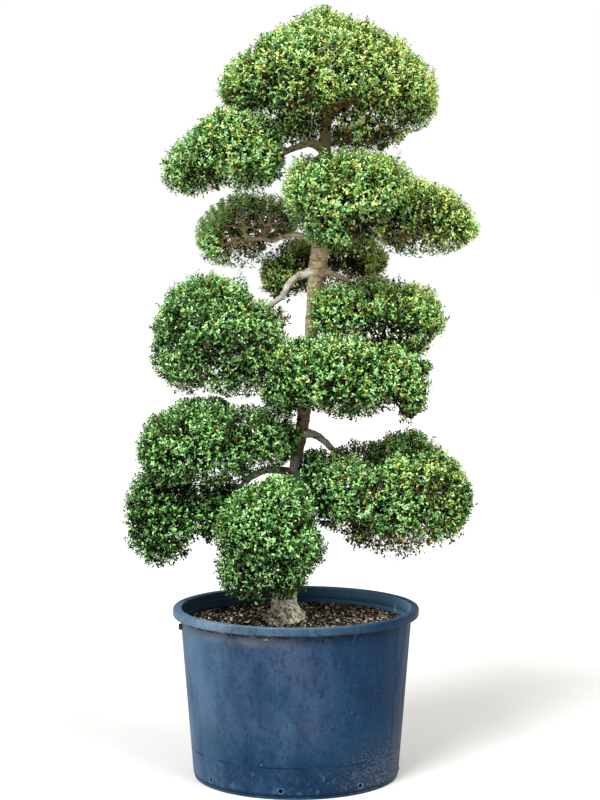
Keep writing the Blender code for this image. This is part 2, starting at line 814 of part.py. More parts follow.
def unit(vector):
    return vector / np.linalg.norm(vector)


def shoot_leaves(end, direction, rng):
    """The leaves of one shoot: one at its end, the others round it."""
    turn = rng.uniform(0, 2 * math.pi)
    side = unit(np.cross(direction, (math.cos(turn), math.sin(turn), 0.3)))
    face = np.cross(direction, side)
    leaves = [leaf_corners(end - direction * LEAF_SUNK, direction, side)]
    for k in range(LEAVES_ON_SHOOT - 1):
        flank = unit(side * (1 - 2 * k) + face * rng.uniform(-LEAF_SWAY, LEAF_SWAY))
        lean = unit(direction * LEAF_FORWARD + flank * LEAF_OUT)
        across = unit(np.cross(lean, flank))
        leaves.append(leaf_corners(end - direction * (LEAF_SUNK + LEAF_STAGGER), lean, across))
    return leaves


def make_mass(name, curves, material, rng):
    share = surface_share(name)
    shoots = round(SHOOTS_IN_ALL * share)
    corners = CORE_CORNERS_LEAST + round(CORE_CORNERS_SHARED * share)
    support, level, _ = MASSES[name]
    heart = heart_of(name)
    curve = curves[support]
    if level is None:
        run = unit(curve[-1, :3] - curve[-2, :3])
        base = curve[-1, :3] + run * TOUCH_GAP
        base_radius = curve[-1, 3]
    else:
        base = curve[np.argmin(abs(curve[:, 2] - level)), :3]
        run = unit(heart - base)
        base_radius = STEM_RADIUS

    mass = new_object(name, core_mesh(name, heart, corners))
    limb_cutters = new_group("limb_cutters")
    for limb, limb_curve_rows in curves.items():
        sides = TRUNK_SIDES if limb == "trunk" else BOUGH_SIDES
        cutter = tube(limb_curve_rows, sides, CORE_CLEARANCE)
        new_object(f"{limb}_cutter", cutter, group=limb_cutters)
    combine(mass, limb_cutters, "DIFFERENCE")

    pieces = new_group("pieces")
    bend = base + run * np.linalg.norm(heart - base) * STEM_BEND
    places = zip((base, bend, heart), STEM_TAPER)
    stem_route = np.array([(*place, base_radius * taper) for place, taper in places])
    stem = new_object("stem", tube(stem_route, STEM_SIDES), group=pieces)
    if level is not None:
        cut_by_trunk(stem, curves["trunk"], TOUCH_GAP)

    tips = shoot_tips(name, heart, shoots)
    limbs = []
    grow(heart, tips, rng, limbs)
    facing = {tuple(tip): normal for tip, normal in zip(tips, outward(name, tips))}
    for start, end, carried in limbs:
        if carried > 1:
            continue
        sway = [rng.uniform(-SHOOT_SWAY, SHOOT_SWAY) for _ in range(2)]
        direction = unit(facing[tuple(end)] + np.array((*sway, SHOOT_LIFT)))
        root = twig_root(name, heart, curves, start, end)
        if root is None:
            continue
        track = root + (end - root) * np.linspace(0, 1, TWIG_TESTS)[:, None]
        if not limb_clear(curves, track, LIMB_CLEARANCE + TWIG_RADIUS).all():
            continue
        twig = np.array([(*root, TWIG_RADIUS * TWIG_TAPER), (*end, TWIG_RADIUS)])
        new_object("twig", tube(twig, TWIG_SIDES), group=pieces)
        for leaf in shoot_leaves(end, direction, rng):
            samples = leaf_samples(leaf)
            in_own_space = in_space(name, samples, -OUTLINE_SLACK, SPACE_GAP).all()
            if in_own_space and limb_clear(curves, samples, LIMB_CLEARANCE).all():
                new_object("leaf", leaf_mesh(leaf), group=pieces)
    if name == "foliage_crown":
        foot = np.array(TOP_SHOOT) - (0, 0, TOP_SHOOT_LENGTH)
        leader = np.array([(*foot, TWIG_RADIUS * 2), (*TOP_SHOOT, TWIG_RADIUS)])
        new_object("leader", tube(leader, TWIG_SIDES), group=pieces)
    combine(mass, pieces, "UNION")
    mass.data.materials.append(material)
    return mass


def surface_share(name):
    """A mass's share of the whole crown's surface."""

    def size(mass):
        return sum(across * deep + across * (up + down) for *_, across, deep, up, down, _ in MASSES[mass][2])

    return size(name) / sum(size(mass) for mass in MASSES)


def build():
    for obj in list(bpy.data.objects):
        bpy.data.objects.remove(obj)
    rng = random.Random(SEED)
    materials = {name: make_material(name) for name in COLOURS}
    curves = {"trunk": limb_curve(TRUNK)}
    curves.update({name: limb_curve(limb) for name, limb in BOUGHS.items()})

    parts = [make_pot(materials["pot"]), make_soil(materials["soil"])]
    parts += make_limbs(curves, materials["bark"])
    parts += [make_mass(name, curves, materials["leaf"], rng) for name in MASSES]

    tree = bpy.data.objects.new("potted_tree", None)
    bpy.context.scene.collection.objects.link(tree)
    for part in parts:
        part.parent = tree


build()
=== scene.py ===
import math

import bpy
import numpy as np
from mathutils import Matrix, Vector, noise


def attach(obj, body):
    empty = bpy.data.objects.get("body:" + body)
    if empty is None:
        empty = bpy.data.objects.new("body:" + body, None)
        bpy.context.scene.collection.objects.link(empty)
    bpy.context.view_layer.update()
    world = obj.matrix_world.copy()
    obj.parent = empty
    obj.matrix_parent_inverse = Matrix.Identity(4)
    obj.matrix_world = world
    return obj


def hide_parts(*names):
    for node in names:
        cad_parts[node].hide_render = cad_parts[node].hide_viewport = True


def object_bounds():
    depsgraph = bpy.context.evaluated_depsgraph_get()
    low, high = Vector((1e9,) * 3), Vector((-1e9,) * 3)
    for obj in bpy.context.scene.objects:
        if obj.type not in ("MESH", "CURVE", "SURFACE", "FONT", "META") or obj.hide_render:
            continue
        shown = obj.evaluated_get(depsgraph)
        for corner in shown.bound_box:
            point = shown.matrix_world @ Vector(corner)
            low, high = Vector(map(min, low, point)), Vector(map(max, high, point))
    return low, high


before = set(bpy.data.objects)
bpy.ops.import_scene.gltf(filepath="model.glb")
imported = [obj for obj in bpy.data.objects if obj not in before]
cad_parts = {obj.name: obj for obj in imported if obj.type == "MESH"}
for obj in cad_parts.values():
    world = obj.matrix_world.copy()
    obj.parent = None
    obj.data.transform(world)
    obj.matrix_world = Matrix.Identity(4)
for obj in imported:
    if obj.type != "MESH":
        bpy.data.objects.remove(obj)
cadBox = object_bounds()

print("frame loaded:", len(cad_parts), "nodes")


# Small helpers

def deselectAll():
    bpy.ops.object.select_all(action="DESELECT")


def pick(obj):
    deselectAll()
    obj.select_set(True)
    bpy.context.view_layer.objects.active = obj


def addShape(operator, **values):
    deselectAll()
    operator(**values)
    return bpy.context.object


def editMode(select=None):
    bpy.ops.object.mode_set(mode="EDIT")
    if select:
        bpy.ops.mesh.select_all(action=select)


def objectMode():
    bpy.ops.object.mode_set(mode="OBJECT")


def editFaces(obj, towards):
    # goes to edit mode with only those faces picked that look one way
    editMode()
    bpy.ops.mesh.select_mode(type="FACE")
    bpy.ops.mesh.select_all(action="DESELECT")
    objectMode()
    for face in obj.data.polygons:
        face.select = face.normal.dot(Vector(towards)) > 0.9
    editMode()


def modify(obj, kind, **values):
    modifier = obj.modifiers.new(kind.lower(), kind)
    for key, value in values.items():
        setattr(modifier, key, value)


def applyAll(obj):
    pick(obj)
    for modifier in list(obj.modifiers):
        bpy.ops.object.modifier_apply(modifier=modifier.name)


def applyPlace(obj):
    pick(obj)
    bpy.ops.object.transform_apply(location=True, rotation=True, scale=True)


def tubeMesh(curve, radius, bevels, steps):
    # the curve just added, as a closed tube
    curve.bevel_depth = radius
    curve.bevel_resolution = bevels
    curve.resolution_u = steps
    curve.use_fill_caps = True
    bpy.ops.object.convert(target="MESH")
    return bpy.context.object


def joinInto(first, *others):
    pick(first)
    for other in others:
        other.select_set(True)
    bpy.ops.object.join()
    return first


def finishPiece(obj, material, angle=None):
    # smooth shading, with edges kept sharp over an angle if one is given, and the material
    pick(obj)
    if angle:
        bpy.ops.object.shade_smooth_by_angle(angle=math.radians(angle))
    else:
        bpy.ops.object.shade_smooth()
    obj.data.materials.append(material)
    return obj


def handOver(obj, name, slot, *nodes):
    # names the piece, lets it ride on the tree's one body and says which nodes it stands for
    obj.name = name
    obj.data.name = name
    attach(obj, "root")
    if nodes:
        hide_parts(*nodes)


def metres(rows):
    # tables of places are in millimetres
    return [[value / 1000 for value in row] for row in rows]


# Materials: what paints and masks works on the material started last, in Object coordinates and metres

paintBox = {}


def startMaterial(name, colour, roughness, specular=0.5):
    material = bpy.data.materials.new(name)
    material.use_nodes = True
    shader = material.node_tree.nodes["Principled BSDF"].inputs
    shader["Base Color"].default_value = (*colour, 1)
    shader["Roughness"].default_value = roughness
    shader["Specular IOR Level"].default_value = specular
    paintBox.update(tree=material.node_tree, shader=shader, colour=colour)
    return material


def addNode(kind, **values):
    node = paintBox["tree"].nodes.new(kind)
    for key, value in values.items():
        if hasattr(node, key):
            setattr(node, key, value)
        else:
            node.inputs[key].default_value = value
    return node


def wire(source, target):
    paintBox["tree"].links.new(source, target)


def mathNode(operation, *values):
    node = addNode("ShaderNodeMath", operation=operation)
    for socket, value in zip(node.inputs, values):
        if isinstance(value, (int, float)):
            socket.default_value = value
        else:
            wire(value, socket)
    return node.outputs[0]


def remap(value, low, high, **values):
    span = addNode("ShaderNodeMapRange", **{"From Min": low, "From Max": high}, **values)
    wire(value, span.inputs["Value"])
    return span.outputs["Result"]


def objectPlace(stretch=(1, 1, 1)):
    mapping = addNode("ShaderNodeMapping", Scale=stretch)
    wire(addNode("ShaderNodeTexCoord").outputs["Object"], mapping.inputs["Vector"])
    return mapping.outputs["Vector"]


def objectAxis(axis):
    place = addNode("ShaderNodeSeparateXYZ")
    wire(objectPlace(), place.inputs["Vector"])
    return place.outputs[axis]


def clouds(scale, low, high, stretch=(1, 1, 1), detail=4):
    # noise: 0 where it is under low, 1 where it is over high
    texture = addNode("ShaderNodeTexNoise", Scale=scale, Detail=detail)
    wire(objectPlace(stretch), texture.inputs["Vector"])
    return remap(texture.outputs["Fac"], low, high)


def ramp(low, high, axis="Z"):
    # rises from 0 to 1 between two places along an axis
    return remap(objectAxis(axis), low, high, interpolation_type="SMOOTHSTEP")


def band(low, high, soft, axis="Z"):
    # 1 between two places along an axis
    return mathNode("MULTIPLY", ramp(low - soft, low, axis), ramp(high + soft, high, axis))


def outerWall(foot, slope, depth):
    # 0 on the inner side of a flared wall, 1 on its outer side: foot is the wall's radius at the ground
    length = addNode("ShaderNodeVectorMath", operation="LENGTH")
    wire(objectPlace((1, 1, 0)), length.inputs[0])
    unflared = mathNode("MULTIPLY_ADD", objectAxis("Z"), -slope, length.outputs["Value"])
    return remap(unflared, foot - depth, foot - depth / 2)


def invert(mask):
    return mathNode("SUBTRACT", 1, mask)


def multiply(mask, *others):
    for other in others:
        mask = mathNode("MULTIPLY", mask, other)
    return mask


def paint(colour, *masks):
    # lays a colour over what is there, through masks and a share
    mix = addNode("ShaderNodeMix", data_type="RGBA")
    if isinstance(paintBox["colour"], tuple):
        mix.inputs[6].default_value = (*paintBox["colour"], 1)
    else:
        wire(paintBox["colour"], mix.inputs[6])
    mix.inputs[7].default_value = (*colour, 1)
    wire(multiply(*masks), mix.inputs[0])
    wire(mix.outputs[2], paintBox["shader"]["Base Color"])
    paintBox["colour"] = mix.outputs[2]


def setBump(mask, strength, distance):
    bump = addNode("ShaderNodeBump", Strength=strength, Distance=distance)
    wire(mask, bump.inputs["Height"])
    wire(bump.outputs["Normal"], paintBox["shader"]["Normal"])


# Pot

pot = {
    "sides": 160,
    "height": 0.62,
    "rimRadius": 0.45,
    "lipHeight": 0.03,
    "rimThickness": 0.007,
    "wallTop": 0.425,
    "wallFoot": 0.377,
    "wallThickness": 0.006,
    "wallSteps": 26,
    "footHeight": 0.012,
    "footStep": 0.004,
    "footRound": 0.0015,
    "floorThickness": 0.008,
    "ledgeDrop": 0.045,
    "drains": 8,
    "drainRadius": 0.008,
    "drainHeight": 0.032,
    "drainTurn": -8,
}


def wallRadius(height):
    share = (height - pot["footHeight"]) / (pot["height"] - pot["rimThickness"] - pot["footHeight"])
    return pot["wallFoot"] + (pot["wallTop"] - pot["wallFoot"]) * share


potColours = {
    "plain": (0.014, 0.048, 0.108),
    "violet": (0.058, 0.08, 0.14),
    "teal": (0.01, 0.052, 0.094),
    "dark": (0.003, 0.012, 0.03),
    "shade": (0.005, 0.026, 0.066),
    "pale": (0.07, 0.138, 0.232),
    "rim": (0.05, 0.094, 0.152),
    "rimLit": (0.22, 0.32, 0.41),
    "inside": (0.014, 0.048, 0.08),
    "insideLit": (0.17, 0.37, 0.6),
    "dust": (0.135, 0.15, 0.16),
    "line": (0.018, 0.013, 0.011),
    "crumb": (0.62, 0.46, 0.28),
    "chalk": (0.34, 0.38, 0.42),
    "lime": (0.72, 0.74, 0.74),
}


def potMaterial():
    material = startMaterial("potPlastic", potColours["plain"], 0.55, 0.05)

    def lay(name, *masks):
        paint(potColours[name], *masks)

    outer = outerWall(wallRadius(0), wallRadius(1) - wallRadius(0), pot["wallThickness"])
    inner = invert(outer)
    lip = pot["height"] - pot["lipHeight"]
    onRim = ramp(lip - 0.003, lip + 0.002)
    leftSide = ramp(-0.18, -0.4, "X")
    rightSide = ramp(-0.06, 0.36, "X")
    # the outer wall, with its dark marks weaker on the left, where light is painted
    outerLessOnLitLeft = multiply(outer, invert(multiply(leftSide, 0.75)))
    lay("violet", clouds(3, 0.36, 0.64), band(0.28, 0.56, 0.16), ramp(0.24, -0.02, "X"), 0.85)
    lay("teal", clouds(5, 0.5, 0.72), 0.5)
    lay("rim", onRim, 0.85)
    # painted light on the rim at the left, a painted highlight along its top edge and painted shade on the
    # rim at the right
    lay("rimLit", onRim, ramp(-0.14, -0.4, "X"), 1.0)
    lay("rimLit", ramp(pot["height"] - 0.0025, pot["height"] - 0.0008), 0.35)
    lay("dark", onRim, ramp(0.24, 0.44, "X"), 0.4)
    # runs of water: faint streaks, dark and pale
    streaks = clouds(30, 0.5, 0.7, (1, 1, 0.12), 6)
    lay("dark", streaks, 0.28)
    lay("pale", clouds(24, 0.54, 0.76, (1.3, 1.3, 0.07), 6), 0.18)
    # painted light makes the outer wall pale at the left and painted shade makes it darker at the right; it
    # is darker towards the foot too, and marked all over
    lay("pale", leftSide, clouds(9, 0.16, 0.52, (1, 1, 0.4), 7), 0.95)
    lay("pale", clouds(22, 0.48, 0.7, (1, 1, 0.7), 9), 0.15)
    lay("shade", rightSide, outer, 0.92)
    lay("dark", ramp(0.24, 0.05), clouds(7, 0.28, 0.56, detail=7), outerLessOnLitLeft, 0.6)
    lay("dark", clouds(12, 0.46, 0.66, (1, 1, 0.6), 9), outerLessOnLitLeft, 0.3)
    lay("dark", clouds(60, 0.52, 0.62, (1, 1, 0.8), 9), outerLessOnLitLeft, 0.34)
    lay("dark", clouds(130, 0.6, 0.68, (1, 1, 0.4), 8), outerLessOnLitLeft, 0.55)
    # dust and dirt close under the lip, thickest at the left, a dark band right under it that is partly
    # painted shade, with a few pale crumbs in it
    lay("dust", clouds(17, 0.38, 0.58), ramp(0.05, -0.2, "X"), band(0.56, 0.59, 0.03), outer, 0.5)
    lay("line", band(0.58, 0.592, 0.004), clouds(30, 0.4, 0.52, (1, 1, 0.5)), outer, 0.85)
    crumbs = multiply(clouds(55, 0.6, 0.64, (1, 1, 2), 2), band(0.574, 0.582, 0.003))
    lay("crumb", crumbs, band(-0.13, -0.07, 0.01, "X"), outer)
    lay("inside", inner, 0.9)
    lay("insideLit", inner, ramp(-0.04, 0.28, "X"), ramp(0.5, 0.58), 0.8)
    # chalky specks, most of them low on the right
    lay("chalk", clouds(330, 0.57, 0.62, detail=2), ramp(0.26, 0.04), ramp(0.08, 0.34, "X"), 0.55)
    lay("chalk", clouds(170, 0.785, 0.8, detail=1), 0.8)
    lay("pale", band(0.02, 0.075, 0.03), clouds(42, 0.55, 0.68, detail=8), 0.4)
    # a scuffed line above the foot, and the shade of the ledge at the foot
    lay("dark", band(0.112, 0.116, 0.003), clouds(11, 0.48, 0.52, (1, 1, 3), 8), 0.7)
    lay("dark", band(0.01, 0.018, 0.002), 0.7)
    # the mould seam and a smear of lime on the inner wall, at the back
    back = ramp(0, 0.1, "Y")
    lay("pale", band(0.2105, 0.213, 0.0008, "X"), back, inner, ramp(0.574, 0.578), 0.8)
    lay("lime", band(0.3705, 0.3745, 0.0008, "X"), band(0.566, 0.588, 0.003), back, inner)
    gloss = remap(streaks, 0, 1, **{"To Min": 0.42, "To Max": 0.62})
    wire(gloss, paintBox["shader"]["Roughness"])
    setBump(clouds(90, 0.3, 0.7, (1, 1, 0.4)), 0.25, 0.0008)
    return material


def potRings():
    # radius and height of each ring, from the foot up the outside, over the rim and down the inside
    foot = pot["footHeight"] + pot["footRound"]
    top = pot["height"]
    under = top - pot["rimThickness"]
    lip = top - pot["lipHeight"]
    ledge = top - pot["ledgeDrop"]
    rim = pot["rimRadius"]
    within = rim - pot["rimThickness"]
    inner = wallRadius(ledge) - pot["wallThickness"] + 0.002
    rings = [(pot["wallFoot"] - 0.001, pot["footHeight"]), (pot["wallFoot"], foot)]
    for i in range(1, pot["wallSteps"] + 1):
        height = foot + (under - pot["footHeight"] - pot["footRound"]) * i / pot["wallSteps"]
        rings.append((wallRadius(height), height))
    rings += [(within - 0.002, under), (within, under - 0.002), (within, lip + 0.001), (within + 0.001, lip)]
    rings += [(rim - 0.004, lip), (rim - 0.0015, lip + 0.002), (rim, lip + 0.006), (rim, top - 0.006)]
    rings += [(rim - 0.0012, top - 0.0022), (rim - 0.004, top), (inner + 0.005, top)]
    rings += [(inner + 0.0015, top - 0.0015), (inner, top - 0.005), (inner, ledge + 0.001)]
    rings.append((inner - 0.002, ledge - 0.001))
    rings += [(wallRadius(height) - pot["wallThickness"], height) for height in (0.3, pot["floorThickness"])]
    return rings


def drainPlaces(outset):
    # where the middle of each drain hole is, and which way it looks
    radius = wallRadius(pot["drainHeight"]) + outset
    for i in range(pot["drains"]):
        turn = math.radians(pot["drainTurn"] - 90 + 360 * i / pot["drains"])
        yield (radius * math.cos(turn), radius * math.sin(turn), pot["drainHeight"]), turn


def makePot():
    radius = pot["wallFoot"] - pot["footStep"]
    height = pot["footHeight"]
    size = {"vertices": pot["sides"], "radius": radius, "depth": height}
    shell = addShape(bpy.ops.mesh.primitive_cylinder_add, location=(0, 0, height / 2), **size)
    applyPlace(shell)
    editFaces(shell, (0, 0, 1))
    for nextRadius, nextHeight in potRings():
        bpy.ops.mesh.extrude_region_move(TRANSFORM_OT_translate={"value": (0, 0, nextHeight - height)})
        share = nextRadius / radius
        bpy.ops.transform.resize(value=(share, share, 1), center_override=(0, 0, nextHeight))
        radius, height = nextRadius, nextHeight
    objectMode()
    size = {"vertices": 32, "radius": pot["drainRadius"], "depth": 0.05}
    cutters = []
    for place, turn in drainPlaces(0):
        rotation = (0, math.pi / 2, turn)
        cutters.append(
            addShape(bpy.ops.mesh.primitive_cylinder_add, location=place, rotation=rotation, **size)
        )
    cutter = joinInto(*cutters)
    modify(shell, "BOOLEAN", operation="DIFFERENCE", object=cutter, solver="EXACT")
    applyAll(shell)
    bpy.data.objects.remove(cutter)
    return finishPiece(shell, potMaterial(), 32)


def makeDrainRims():
    # a raised ring round each drain hole
    rims = []
    for place, turn in drainPlaces(0.0004):
        ring = addShape(bpy.ops.mesh.primitive_circle_add, vertices=32, radius=pot["drainRadius"])
        editMode("SELECT")
        bpy.ops.mesh.extrude_edges_move()
        bpy.ops.transform.resize(value=(1.35, 1.35, 1), center_override=(0, 0, 0))
        objectMode()
        modify(ring, "SOLIDIFY", thickness=0.0022, offset=0)
        modify(ring, "BEVEL", width=0.0007, segments=2)
        applyAll(ring)
        ring.location = place
        ring.rotation_euler = (0, math.pi / 2 - 0.08, turn)
        applyPlace(ring)
        rims.append(ring)
    return finishPiece(joinInto(*rims), startMaterial("drainEdge", potColours["pale"], 0.5, 0.2), 40)


rimParts = {
    "lugSize": (0.014, 0.022, 0.02),
    "lugHeight": 0.557,
    "lugTurn": 10,
    "wireRadius": 0.0019,
    # where each wire hook hangs under the rim: x, length, side swing
    "hooks": [(-0.223, 0.02, -0.006), (0.105, 0.026, -0.004), (0.205, 0.034, -0.012), (0.362, 0.014, 0.004)],
    "knobX": 0.204,
    "knobRadius": 0.0045,
}


def makeLug():
    lug = addShape(bpy.ops.mesh.primitive_cube_add, size=1)
    lug.scale = rimParts["lugSize"]
    applyPlace(lug)
    editFaces(lug, (-1, 0, 0))
    bpy.ops.mesh.inset(thickness=0.003)
    bpy.ops.mesh.extrude_region_move(TRANSFORM_OT_translate={"value": (0.004, 0, 0)})
    objectMode()
    modify(lug, "BEVEL", width=0.0015, segments=2)
    applyAll(lug)
    height = rimParts["lugHeight"]
    lug.location = (-wallRadius(height) - rimParts["lugSize"][0] / 2 + 0.003, 0, height)
    applyPlace(lug)
    lug.rotation_euler.z = math.radians(rimParts["lugTurn"])
    applyPlace(lug)
    return finishPiece(lug, startMaterial("blackPlastic", (0.012, 0.013, 0.015), 0.5), 35)


def wireTube(*points):
    curve = addShape(bpy.ops.curve.primitive_nurbs_path_add).data
    spline = curve.splines[0]
    for point, place in zip(spline.points, points):
        point.co = (*place, 1)
    spline.order_u = 3
    spline.use_endpoint_u = True
    return tubeMesh(curve, rimParts["wireRadius"], 2, 4)


def makeHooks():
    # bent wire under the rim, and over it at the knob
    under = pot["height"] - pot["lipHeight"]
    wires = []
    for x, drop, swing in rimParts["hooks"]:
        front = -math.sqrt((wallRadius(under) + 0.004) ** 2 - x**2)
        wires.append(wireTube(
            (x, front - 0.004, under + 0.006),
            (x, front - 0.006, under - drop * 0.4),
            (x + swing * 0.3, front - 0.005, under - drop * 0.8),
            (x + swing, front - 0.001, under - drop),
            (x + swing * 1.6, front - 0.004, under - drop * 0.85),
        ))
    x = rimParts["knobX"]
    outer = -math.sqrt((pot["rimRadius"] + 0.0012) ** 2 - x**2)
    top = pot["height"] + rimParts["wireRadius"]
    wires.append(wireTube(
        (x, outer, under),
        (x - 0.001, outer, top - 0.01),
        (x - 0.002, outer + 0.003, top),
        (x - 0.001, outer + 0.01, top + 0.001),
        (x + 0.001, outer + 0.018, top),
    ))
    middle = (x, outer + 0.016, top)
    bpy.ops.mesh.primitive_uv_sphere_add(
        segments=16, ring_count=10, radius=rimParts["knobRadius"], location=middle
    )
    knob = bpy.context.object
    editMode("SELECT")
    bpy.ops.transform.resize(value=(1.5, 1, 0.75), center_override=middle)
    objectMode()
    applyPlace(knob)
    material = startMaterial("wireDark", (0.014, 0.022, 0.032), 0.5)
    paint((0.16, 0.22, 0.28), clouds(120, 0.55, 0.65), 0.7)
    return finishPiece(joinInto(*wires, knob), material)


deselectAll()
handOver(makePot(), "potShell", "pot_plastic", "pot")
handOver(makeDrainRims(), "drainRims", "pot_plastic")
handOver(makeLug(), "rimLug", "pot_plastic")
handOver(makeHooks(), "rimHooks", "pot_plastic")
print("pot made")


# Trunk and boughs: the points that each one passes through and its radius there, in millimetres

limbRoutes = {
    "trunk": [
        (-43, -30, 570, 58), (-43, -30, 610, 51), (-42, -30, 660, 45), (-36, -26, 760, 40),
        (-18, -14, 950, 33), (-5, 0, 1080, 27), (1, 0, 1160, 25), (24, 4, 1290, 26),
        (57, 8, 1630, 26), (71, 4, 1790, 29), (80, 2, 1865, 35), (90, 0, 1970, 30),
        (105, 0, 2260, 26), (106, 0, 2350, 21),
    ],
    "bough_crown_left": [
        (105, 0, 2282, 19), (56, -10, 2303, 17), (12, -24, 2292, 15), (-24, -34, 2278, 13),
        (-58, -42, 2262, 12),
    ],
    "bough_crown_right": [(105, 0, 2292, 10), (165, 12, 2310, 8), (215, 24, 2320, 6)],
    "bough_upper_left": [
        (88, 0, 1948, 15), (36, 12, 1966, 13), (4, 30, 1975, 12), (-40, 55, 1971, 11),
        (-88, 78, 1953, 9),
    ],
    "bough_upper_right": [
        (95, 0, 2075, 14), (175, 25, 2050, 12), (250, 25, 2005, 11), (325, 15, 1945, 9),
    ],
    "bough_upper_back": [(80, 0, 1868, 13), (88, 60, 1872, 11), (95, 100, 1870, 10)],
    "bough_middle_left": [
        (78, 0, 1846, 19), (30, -10, 1833, 16), (-6, -18, 1817, 14), (-30, -20, 1790, 12.5),
        (-50, -20, 1752, 10.5),
    ],
    "bough_middle_right": [
        (78, 0, 1848, 17), (125, 4, 1838, 13), (165, 14, 1820, 11), (200, 26, 1802, 9),
    ],
    "bough_middle_back": [(48, 10, 1520, 14), (70, 60, 1500, 12), (90, 100, 1485, 11)],
    "bough_lower_right": [
        (16, 0, 1256, 18), (62, -8, 1253, 16), (100, -16, 1230, 14.5), (132, -24, 1197, 12.5),
    ],
    "bough_lower_left": [
        (-4, 0, 1104, 20), (-58, 0, 1120, 16), (-98, 0, 1121, 15), (-140, 0, 1107, 14),
        (-178, 0, 1083, 13), (-206, 0, 1054, 12), (-230, 0, 1022, 11),
    ],
    "bough_lower_back": [(-20, -16, 930, 14), (-45, 35, 930, 12), (-62, 80, 922, 11)],
}
limbRoutes = {name: metres(route) for name, route in limbRoutes.items()}

# toes of root that show at the soil, and the knuckles among them
rootToes = [
    [(-45, -35, 640, 20), (-80, -60, 592, 19), (-100, -78, 566, 15)],
    [(-40, -50, 640, 18), (-52, -85, 592, 19), (-60, -104, 566, 14)],
    [(-30, -50, 632, 18), (-20, -88, 594, 20), (-16, -106, 568, 14)],
    [(-20, -40, 640, 20), (12, -62, 594, 18), (34, -74, 566, 14)],
    [(-25, -20, 640, 19), (10, 10, 594, 18), (32, 26, 566, 14)],
    [(-45, -15, 640, 19), (-62, 20, 594, 18), (-72, 44, 566, 13)],
]
rootKnuckles = [
    (-89, -98, 580, 16), (-73, -104, 572, 12), (-42, -108, 584, 15), (-50, -114, 574, 11),
    (-20, -100, 578, 13), (4, -92, 582, 14), (22, -80, 590, 15), (26, -68, 604, 12),
    (-106, -52, 586, 16), (-96, -78, 602, 12), (-64, -98, 602, 10), (-8, -82, 612, 12),
]

bark = {
    "voxel": 0.0034,
    "lumpSize": 0.038,
    "lumpHeight": 0.009,
    "grainSize": 0.013,
    "grainHeight": 0.0036,
    "grainStretch": 1.6,
    "rootSwell": 1.35,
}

# plain, dark, mossy and pale
barkColours = {
    "barkTrunk": ((0.47, 0.37, 0.23), (0.2, 0.14, 0.08), (0.3, 0.27, 0.14), (0.62, 0.55, 0.42)),
    "barkMoss": ((0.36, 0.31, 0.17), (0.12, 0.09, 0.04), (0.27, 0.29, 0.12), (0.54, 0.5, 0.36)),
    "barkWeathered": ((0.48, 0.42, 0.34), (0.1, 0.07, 0.05), (0.24, 0.21, 0.15), (0.66, 0.62, 0.55)),
    "barkTan": ((0.5, 0.38, 0.24), (0.2, 0.14, 0.08), (0.32, 0.28, 0.16), (0.66, 0.58, 0.44)),
    "barkGrey": ((0.56, 0.52, 0.45), (0.18, 0.15, 0.11), (0.36, 0.35, 0.28), (0.8, 0.79, 0.75)),
    "barkBrown": ((0.115, 0.075, 0.045), (0.04, 0.026, 0.016), (0.16, 0.13, 0.08), (0.25, 0.21, 0.15)),
}
barkOf = {
    "trunk": "barkTrunk",
    "bough_crown_left": "barkMoss",
    "bough_crown_right": "barkBrown",
    "bough_middle_left": "barkGrey",
    "bough_lower_right": "barkWeathered",
    "bough_lower_left": "barkWeathered",
}


def barkMaterial(name):
    plain, dark, mossy, pale = barkColours[name]
    material = startMaterial(name, plain, 0.85, 0.25)
    paint(mossy, clouds(14, 0.46, 0.66), 0.7)
    paint(dark, clouds(30, 0.5, 0.68, (1, 1, 1.3), 6))
    paint(dark, clouds(26, 0.52, 0.6, (0.6, 0.6, 4.5), 5), 0.75)  # wrinkles across the limb
    paint(pale, clouds(60, 0.57, 0.64, detail=6), 0.6)
    if name == "barkTrunk":
        paintTrunk()
    setBump(clouds(110, 0.3, 0.7, (1, 1, 0.8), 8), 0.8, 0.003)
    return material


def paintTrunk():
    # mossy and then brown at the top
    paint((0.25, 0.21, 0.085), ramp(2.05, 2.2), clouds(20, 0.36, 0.56, detail=5), 0.85)
    paint((0.15, 0.1, 0.05), ramp(2.3, 2.37))
    # grey and scaly below the fork, dark and wet-looking at it
    grey = ramp(1.2, 1.1)
    paint((0.74, 0.72, 0.66), grey, 0.85)
    paint((0.96, 0.95, 0.92), grey, clouds(24, 0.5, 0.56, (1.6, 1.6, 0.5), 6), 0.8)
    paint((0.13, 0.08, 0.04), band(1.19, 1.34, 0.04), 0.8)
    # crusted with lichen round the foot, with moss at the soil and fine cracks
    foot = ramp(0.84, 0.72)
    paint((0.92, 0.87, 0.64), foot, clouds(40, 0.36, 0.54, detail=8), 0.9)
    paint((0.3, 0.29, 0.15), ramp(0.65, 0.59), clouds(34, 0.42, 0.54, detail=5), 0.7)
    paint((0.075, 0.06, 0.03), foot, clouds(90, 0.51, 0.57, detail=9), 0.85)


def branchTube(route):
    curve = addShape(bpy.ops.curve.primitive_bezier_curve_add).data
    spline = curve.splines[0]
    spline.bezier_points.add(len(route) - 2)
    for point, (x, y, z, radius) in zip(spline.bezier_points, route):
        point.co = (x, y, z)
        point.radius = radius
        point.handle_left_type = "AUTO"
        point.handle_right_type = "AUTO"
    curve.dimensions = "3D"
    return tubeMesh(curve, 1, 5, 10)


def rootKnuckle(*place, radius):
    return addShape(bpy.ops.mesh.primitive_ico_sphere_add, subdivisions=3, radius=radius, location=place)


def cloudTexture(size, depth=2):
    texture = bpy.data.textures.new("clouds", "CLOUDS")
    texture.noise_scale = size
    texture.noise_depth = depth
    return texture


